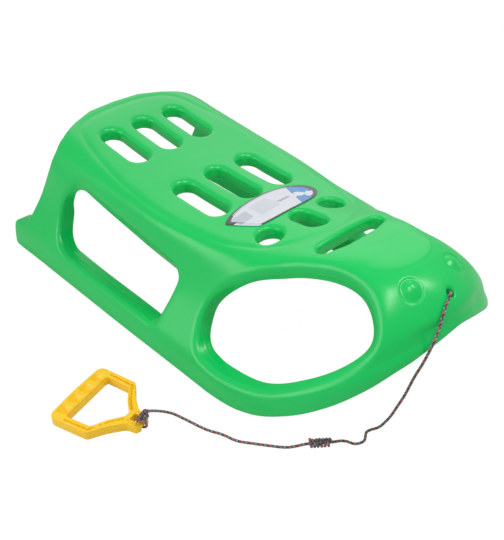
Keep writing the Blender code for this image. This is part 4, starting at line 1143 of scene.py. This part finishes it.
# %% Label
LABEL_AT, LABEL_OUT = 0.429, -0.005
LABEL_HALF_LENGTH, LABEL_HALF_WIDTH, LABEL_POWER = 0.085, 0.032, 2.3
LABEL_CUT, LABEL_CUT_TURN = 0.058, radians(-57)
LABEL_THICK, LABEL_LIFT = 0.0006, 0.0007
LABEL_POINTS = 144
# The cut's line isn't looked for in directions that face it less than this
LABEL_FACING = 0.01
# Rings: share of the way from middle to edge, and height as a share of the film's thickness
LABEL_RINGS = [(share, 1.0) for share in (*np.linspace(0.002, 0.93, 22), 0.96, 0.985, 0.996)]
LABEL_RINGS += [(1.0, 0.7), (1.0, 0.2), (0.99, 0.0), (0.6, 0.0), (0.2, 0.0), (0.002, 0.0)]


def make_label():
    """Ring by ring from the middle to the oval's edge, then over the edge and underneath.

    UV: metres along and across the label's own middle.  The attribute edge_share holds the share
    of the way from middle to edge.
    """
    angle = np.linspace(0, 2 * pi, LABEL_POINTS, endpoint=False)
    ahead, out = np.cos(angle), np.sin(angle)
    oval = ((np.abs(ahead) / LABEL_HALF_WIDTH) ** LABEL_POWER
            + (np.abs(out) / LABEL_HALF_LENGTH) ** LABEL_POWER)
    reach = oval ** (-1 / LABEL_POWER)
    facing = np.cos(angle - LABEL_CUT_TURN)
    cut = LABEL_CUT / np.maximum(facing, LABEL_FACING)
    reach = np.where(facing > LABEL_FACING, np.minimum(reach, cut), reach)
    edge = np.stack((ahead * reach, out * reach), 1)
    flat = np.array([edge * share for share, _ in LABEL_RINGS])
    lift = np.array([[LABEL_LIFT + LABEL_THICK * height] * LABEL_POINTS for _, height in LABEL_RINGS])
    verts = skin(flat + (LABEL_AT, LABEL_OUT), -lift).reshape(-1, 3)
    faces = ring_faces(len(LABEL_RINGS), LABEL_POINTS).tolist() + end_faces(len(LABEL_RINGS), LABEL_POINTS)
    uv = flat.reshape(-1, 2)[np.concatenate(faces)]
    label = put("label_print", verts, faces, "label_film", uv)
    rim = label.data.attributes.new("edge_share", "FLOAT", "POINT")
    shares = np.repeat([share for share, _ in LABEL_RINGS], LABEL_POINTS)
    rim.data.foreach_set("value", shares.astype(np.float32))
    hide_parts("label")
    return label


label = make_label()
print("label:", len(label.data.polygons), "faces")

# %% [markdown]
# Finishes.  The shell is satin polyethylene: one bright green all through, a faint cloudiness
# from the moulding, a very fine orange-peel skin, and fine rub marks on the runners' soles.  All
# come from noise on object coordinates, so they stay on the sled when it turns.

# %% Green polyethylene
GREEN, GREEN_DEEP, GREEN_PALE = (0.001, 0.540, 0.098), (0.0010, 0.530, 0.094), (0.0015, 0.580, 0.116)
YELLOW, YELLOW_DEEP, YELLOW_PALE = (1.0, 0.600, 0.012), (1.0, 0.575, 0.006), (1.0, 0.650, 0.018)
SOLE_TOP, SOLE_STRETCH, SOLE_SCALE, SOLE_SHARE = 0.012, (9.0, 1.0, 1.0), 420.0, 0.52
# Noises, each by scale and detail: two in colour, one in roughness, two in bump
CLOUD, FLECK, DULL, PEEL, WAVE = (9.0, 3.0), (160.0, 2.0), (26.0, 3.0), (620.0, 2.0), (75.0, 2.0)
CLOUD_SHARE, FLECK_SHARE, PEEL_SHARE = 0.8, 0.2, 0.35
GREEN_ROUGH, DULL_MORE, SOLE_MORE = 0.25, 0.10, 0.2


def green_finish():
    """Colour from clouds and flecks, roughness from noise and the soles' rubs, bump from two noises."""
    finish = Finish("green_polyethylene", GREEN, roughness=0.36, Specular_IOR_Level=0.42)
    place = finish.node("ShaderNodeTexCoord")[OBJECT_PLACE]
    share = finish.noise(place, *CLOUD) * CLOUD_SHARE + finish.noise(place, *FLECK) * FLECK_SHARE
    finish.set("Base Color", finish.mix(share, GREEN_DEEP, GREEN_PALE))
    height = finish.node("ShaderNodeSeparateXYZ", None, place)[2]
    rubs = finish.noise(finish.scaled(place, SOLE_STRETCH, "TEXTURE"), SOLE_SCALE) > SOLE_SHARE
    sole = (height < SOLE_TOP) * rubs
    finish.set("Roughness", finish.noise(place, *DULL) * DULL_MORE + GREEN_ROUGH + sole * SOLE_MORE)
    skin_waves = finish.noise(place, *PEEL) * PEEL_SHARE + finish.noise(place, *WAVE)
    finish.bump(skin_waves, distance=0.00022, strength=0.35)
    return finish.material


def wear(piece, material):
    """Gives a piece one material in place of any it has."""
    piece.data.materials.clear()
    piece.data.materials.append(material)


wear(shell, green_finish())
print("green finish on", shell.name)


# %% [markdown]
# The cord is braided from strands of several colours.  Two families of strands wind round it in
# opposite senses; where a strand of one family lies over the other it shows its own colour.  On
# the tube's UV map a strand's number is the whole part of a sum or a difference of the two
# coordinates, so the pattern is plain arithmetic.

# %% Braid
CORD_GREY, BRAID_GROUND = (0.10, 0.16, 0.17), (0.02, 0.02, 0.025)
# Colours of the strands of the two families
BRAID_COLOURS = (((0.020, 0.150, 0.230), (0.74, 0.100, 0.018), (0.015, 0.125, 0.180), (0.60, 0.40, 0.20)),
                 ((0.020, 0.110, 0.210), (0.010, 0.016, 0.022), (0.70, 0.130, 0.030), (0.025, 0.170, 0.190)))
FIBRE_SCALE, FIBRE_DARK, FIBRE_RISE = (2600.0, 60.0, 1.0), 0.5, 0.25
# Half the sum of two strand numbers has the fraction 0 or 0.5: which family lies over.  The nudge
# keeps a strand's share off the edges between colours
OVER_FROM, NUDGE = 0.25, 0.01


def braid_finish():
    """With n strands, a strand's number is floor(n turn + n way / pitch) in one family and
    floor(n turn - n way / pitch) in the other."""
    finish = Finish("braided_cord", CORD_GREY, roughness=0.8, Sheen_Weight=0.3)
    uv = finish.node("ShaderNodeUVMap", {"uv_map": "flat"})[0]
    along, around, _ = finish.node("ShaderNodeSeparateXYZ", None, uv)
    step = along * (BRAID_STRANDS / BRAID_PITCH)
    turn = around * float(BRAID_STRANDS)
    families = (turn + step, turn - step)
    numbers = [family.maths("FLOOR") for family in families]
    over = ((numbers[0] + numbers[1]) * 0.5).maths("FRACT") > OVER_FROM
    shown = []
    for number, colours in zip(numbers, BRAID_COLOURS):
        share = (number * (1.0 / BRAID_STRANDS)).maths("FRACT") + NUDGE
        stops = [(k / BRAID_STRANDS, colour) for k, colour in enumerate(colours)]
        ramp = finish.node("ShaderNodeValToRGB", {"interpolation": "CONSTANT", "stops": stops}, share)
        shown.append(ramp[0])
    fibre = finish.noise(finish.scaled(uv, FIBRE_SCALE), 1.0)
    colour = finish.mix(over, shown[1], shown[0])
    finish.set("Base Color", finish.mix(fibre * FIBRE_DARK, colour, BRAID_GROUND))
    waves = [(family * pi).maths("SINE").maths("ABSOLUTE") for family in families]
    finish.bump(waves[0] * waves[1] + fibre * FIBRE_RISE, distance=0.0003, strength=0.8)
    return finish.material


braid = braid_finish()
for piece in [cord] + knots:
    wear(piece, braid)
print("braid on", 1 + len(knots), "pieces")


# %% [markdown]
# The label is a generic printed film: a pale field in a dark border with a thin line inside it, a
# blue end with pale streaks and red flecks, broken grey rows, a grey band and a few grey rules.
# Each is a window on the label's own plane, which is 1 inside and 0 outside, and the colours are
# mixed in one after the other.

# %% Label print
# Windows, metres from the label's middle: across from and to, along from and to
BLOCK = (-0.030, 0.006), (-0.018, 0.010)
BAND = (0.010, 0.034), (-0.002, 0.0035)
RULES = (-0.066, -0.040), (-0.016, 0.004)
# Shares of the way to the edge: border, line inside it, and the ends' thick border
BORDER_FROM, LINE_SHARES, END_FROM = 0.93, (0.875, 0.900), 0.90
SKY_DEEP, SKY_PALE = (0.020, 0.160, 0.480), (0.120, 0.370, 0.680)
LABEL_COLOUR, FIELD_DEEP, FIELD_PALE = (0.62, 0.66, 0.71), (0.58, 0.62, 0.68), (0.68, 0.70, 0.74)
STREAK_COLOUR, FLECK_COLOUR = (0.68, 0.71, 0.76), (0.55, 0.12, 0.05)
ROW_COLOUR, BAND_COLOUR, RULE_COLOUR = (0.10, 0.14, 0.19), (0.10, 0.12, 0.15), (0.10, 0.13, 0.17)
LINE_COLOUR, BORDER_COLOUR = (0.10, 0.11, 0.13), (0.060, 0.062, 0.070)
# Bounds in metres: border along the cut and ahead, line inside it, ends to either side
CUT_BORDER, BORDER_AHEAD, LINE_AHEAD = 0.0035, -0.016, 0.004
END_LEFT, END_RIGHT, END_AHEAD = 0.060, -0.058, -0.004
BLUE_SLANT, BLUE_FROM = 0.35, 0.042
# Waves of the streaks along and across, their noise, and the level that shows; rates and shares
# of rows and rules; scales and levels of flecks and of the breaks in the rows
STREAK_ALONG, STREAK_ACROSS, STREAK_NOISE, STREAK_FROM = 40.0, 95.0, 1.6, 1.55
ROW_RATE, ROW_SHIFT, ROW_SHARE, RULE_RATE, RULE_SHARE = 230.0, 0.2, 0.36, 420.0, 0.45
FLECK_SCALE, FLECK_FROM = (330.0, 330.0, 1.0), 0.64
BREAK_SCALE, BREAK_FROM = (200.0, 1000.0, 1.0), 0.46
# Noises by scale and detail: in the streaks, the blue end, the field and the roughness
STREAK_CLOUD, SKY_CLOUD, FIELD_CLOUD, FILM_GRAIN = (70.0, 2.0), (45.0, 3.0), (55.0, 2.0), (900.0, 2.0)
FILM_ROUGH, FILM_MORE = 0.28, 0.08
# How much of its colour each mark takes
ROW_INK, BAND_INK, RULE_INK, LINE_INK = 0.7, 0.75, 0.65, 0.8


def label_finish():
    """Windows of the flat map and of edge_share choose between the label's colours."""
    finish = Finish("label_film", LABEL_COLOUR, roughness=0.32, Coat_Weight=0.1)
    uv = finish.node("ShaderNodeUVMap", {"uv_map": "flat"})[0]
    ahead, out, _ = finish.node("ShaderNodeSeparateXYZ", None, uv)
    rim = finish.node("ShaderNodeAttribute", {"attribute_name": "edge_share"})[ATTRIBUTE_NUMBER]
    to_cut = LABEL_CUT - (ahead * cos(LABEL_CUT_TURN) + out * sin(LABEL_CUT_TURN))
    border = (rim > BORDER_FROM) * ((to_cut > CUT_BORDER) + (ahead < BORDER_AHEAD))
    line = rim.within(*LINE_SHARES) * (ahead < LINE_AHEAD)
    thick_end = (rim > END_FROM) * ((out > END_LEFT) + (out < END_RIGHT) * (ahead < END_AHEAD))
    wave = (out * STREAK_ALONG - ahead * STREAK_ACROSS).maths("SINE")
    streak = (wave + finish.noise(uv, *STREAK_CLOUD) * STREAK_NOISE) > STREAK_FROM
    blue = (out + ahead * BLUE_SLANT) > BLUE_FROM
    sky = finish.mix(finish.noise(uv, *SKY_CLOUD), SKY_DEEP, SKY_PALE)
    fleck = finish.noise(finish.scaled(uv, FLECK_SCALE), 1.0, 1.0) > FLECK_FROM
    picture = finish.mix(streak, sky, STREAK_COLOUR)
    picture = finish.mix(fleck * streak, picture, FLECK_COLOUR)
    broken = finish.noise(finish.scaled(uv, BREAK_SCALE), 1.0, 0.0) > BREAK_FROM
    rows = ((ahead * ROW_RATE + ROW_SHIFT).maths("FRACT") < ROW_SHARE) * broken
    rules = (ahead * RULE_RATE).maths("FRACT") < RULE_SHARE
    block, band, ruled = [out.within(*across) * ahead.within(*along)
                           for across, along in (BLOCK, BAND, RULES)]
    colour = finish.mix(finish.noise(uv, *FIELD_CLOUD), FIELD_DEEP, FIELD_PALE)
    for share, shown in ((rows * block * ROW_INK, ROW_COLOUR),
                         (band * broken * BAND_INK, BAND_COLOUR),
                         (rules * ruled * RULE_INK, RULE_COLOUR),
                         (blue, picture),
                         (line * LINE_INK, LINE_COLOUR),
                         ((border + thick_end).maths("MINIMUM", 1.0), BORDER_COLOUR)):
        colour = finish.mix(share, colour, shown)
    finish.set("Base Color", colour)
    finish.set("Roughness", finish.noise(uv, *FILM_GRAIN) * FILM_MORE + FILM_ROUGH)
    return finish.material


wear(label, label_finish())
print("label print ready")


# %% Yellow polypropylene
# Noises by scale and detail: in colour, in roughness, in bump
YELLOW_CLOUD, YELLOW_DULL, YELLOW_PEEL = (40.0, 3.0), (90.0, 3.0), (900.0, 2.0)
YELLOW_ROUGH, YELLOW_MORE = 0.28, 0.14


def yellow_finish():
    """Colour, roughness and bump each from one noise."""
    finish = Finish("yellow_polypropylene", YELLOW, roughness=0.34, Specular_IOR_Level=0.45)
    place = finish.node("ShaderNodeTexCoord")[OBJECT_PLACE]
    finish.set("Base Color", finish.mix(finish.noise(place, *YELLOW_CLOUD), YELLOW_DEEP, YELLOW_PALE))
    finish.set("Roughness", finish.noise(place, *YELLOW_DULL) * YELLOW_MORE + YELLOW_ROUGH)
    finish.bump(finish.noise(place, *YELLOW_PEEL), distance=0.0001, strength=0.4)
    return finish.material


wear(handle, yellow_finish())
print("yellow finish on", handle.name)

# %% [markdown]
# The photograph is a cut-out on plain white, in soft light from above.  A pale floor takes a weak
# shadow; where the camera sees it, it is lifted nearly to white, so that no extra light is needed
# on the sled.

# %% Floor, backdrop and light
WHITE = (1.0, 1.0, 1.0, 1.0)
FLOOR_HALF, FLOOR_GREY, FLOOR_GLOW, FLOOR_SHARE = 6.0, (0.80, 0.80, 0.80), 1.06, 0.92
WORLD_LEVEL, REFLECTED_SHARE = 0.37, 0.4
# Lamps: place, point looked at, size, watts
LAMPS = {
    "overhead_left": ((0.65, 0.50, 1.6), (0.1, 0, 0.1), (0.30, 0.5), 8.6),
    "overhead_right": ((0.60, -0.45, 1.6), (0.1, 0, 0.1), (0.30, 0.5), 7.8),
    "behind": ((-1.5, 1.4, 1.3), (0, 0, 0.1), (2.0, 1.4), 8.0),
    "near_side": ((-0.7, -2.0, 0.9), (0, 0, 0.1), (1.4, 1.0), 15.0)}


def make_floor():
    """A wide square; seen by the camera, straight or through something clear, it glows."""
    data = bpy.data.meshes.new("floor")
    corners = [(x * FLOOR_HALF, y * FLOOR_HALF, 0) for x, y in ((-1, -1), (1, -1), (1, 1), (-1, 1))]
    data.from_pydata(corners, [], [(0, 1, 2, 3)])
    floor = add_object("floor", data)
    finish = Finish("floor", FLOOR_GREY, roughness=0.9, Specular_IOR_Level=0.1)
    seen = finish.node("ShaderNodeLightPath")
    glow = finish.node("ShaderNodeEmission", None, Color=WHITE, Strength=FLOOR_GLOW)
    mixed = finish.node("ShaderNodeMixShader")
    mixer = finish.tree.nodes[-1]
    rays = seen[CAMERA_RAY].maths("MAXIMUM", seen[TRANSMISSION_RAY])
    finish.feed(mixer.inputs[0], rays * FLOOR_SHARE)
    finish.tree.links.new(finish.shader.outputs[0], mixer.inputs[1])
    finish.feed(mixer.inputs[2], glow[0])
    finish.tree.links.new(mixed[0].socket, finish.tree.nodes["Material Output"].inputs[0])
    data.materials.append(finish.material)


def make_world():
    """Even light from all round, white where the camera sees it; reflections see it part of the
    way to white, by REFLECTED_SHARE."""
    world = bpy.data.worlds.new("studio")
    bpy.context.scene.world = world
    world.use_nodes = True
    tree = world.node_tree
    light = tree.nodes["Background"]
    light.inputs[0].default_value = WHITE
    light.inputs[1].default_value = WORLD_LEVEL
    white = tree.nodes.new("ShaderNodeBackground")
    white.inputs[0].default_value = WHITE
    path = tree.nodes.new("ShaderNodeLightPath")
    mixer = tree.nodes.new("ShaderNodeMixShader")
    share = tree.nodes.new("ShaderNodeMath")
    share.operation = "MULTIPLY_ADD"
    share.use_clamp = True
    share.inputs[1].default_value = REFLECTED_SHARE
    for start, end in ((path.outputs["Is Glossy Ray"], share.inputs[0]),
                       (path.outputs["Is Camera Ray"], share.inputs[2]),
                       (share.outputs[0], mixer.inputs[0]),
                       (light.outputs[0], mixer.inputs[1]),
                       (white.outputs[0], mixer.inputs[2]),
                       (mixer.outputs[0], tree.nodes["World Output"].inputs[0])):
        tree.links.new(start, end)


def softbox(name, place, target, size, power):
    """Rectangular area lamp that looks at a point."""
    data = bpy.data.lights.new(name, "AREA")
    data.shape = "RECTANGLE"
    data.size, data.size_y = size
    data.energy = power
    lamp = add_object(name, data)
    lamp.location = place
    lamp.rotation_euler = (Vector(target) - Vector(place)).to_track_quat("-Z", "Y").to_euler()


make_floor()
make_world()
for name, lamp in LAMPS.items():
    softbox(name, *lamp)
bpy.context.scene.view_settings.view_transform = "Standard"
print("floor and lights ready")
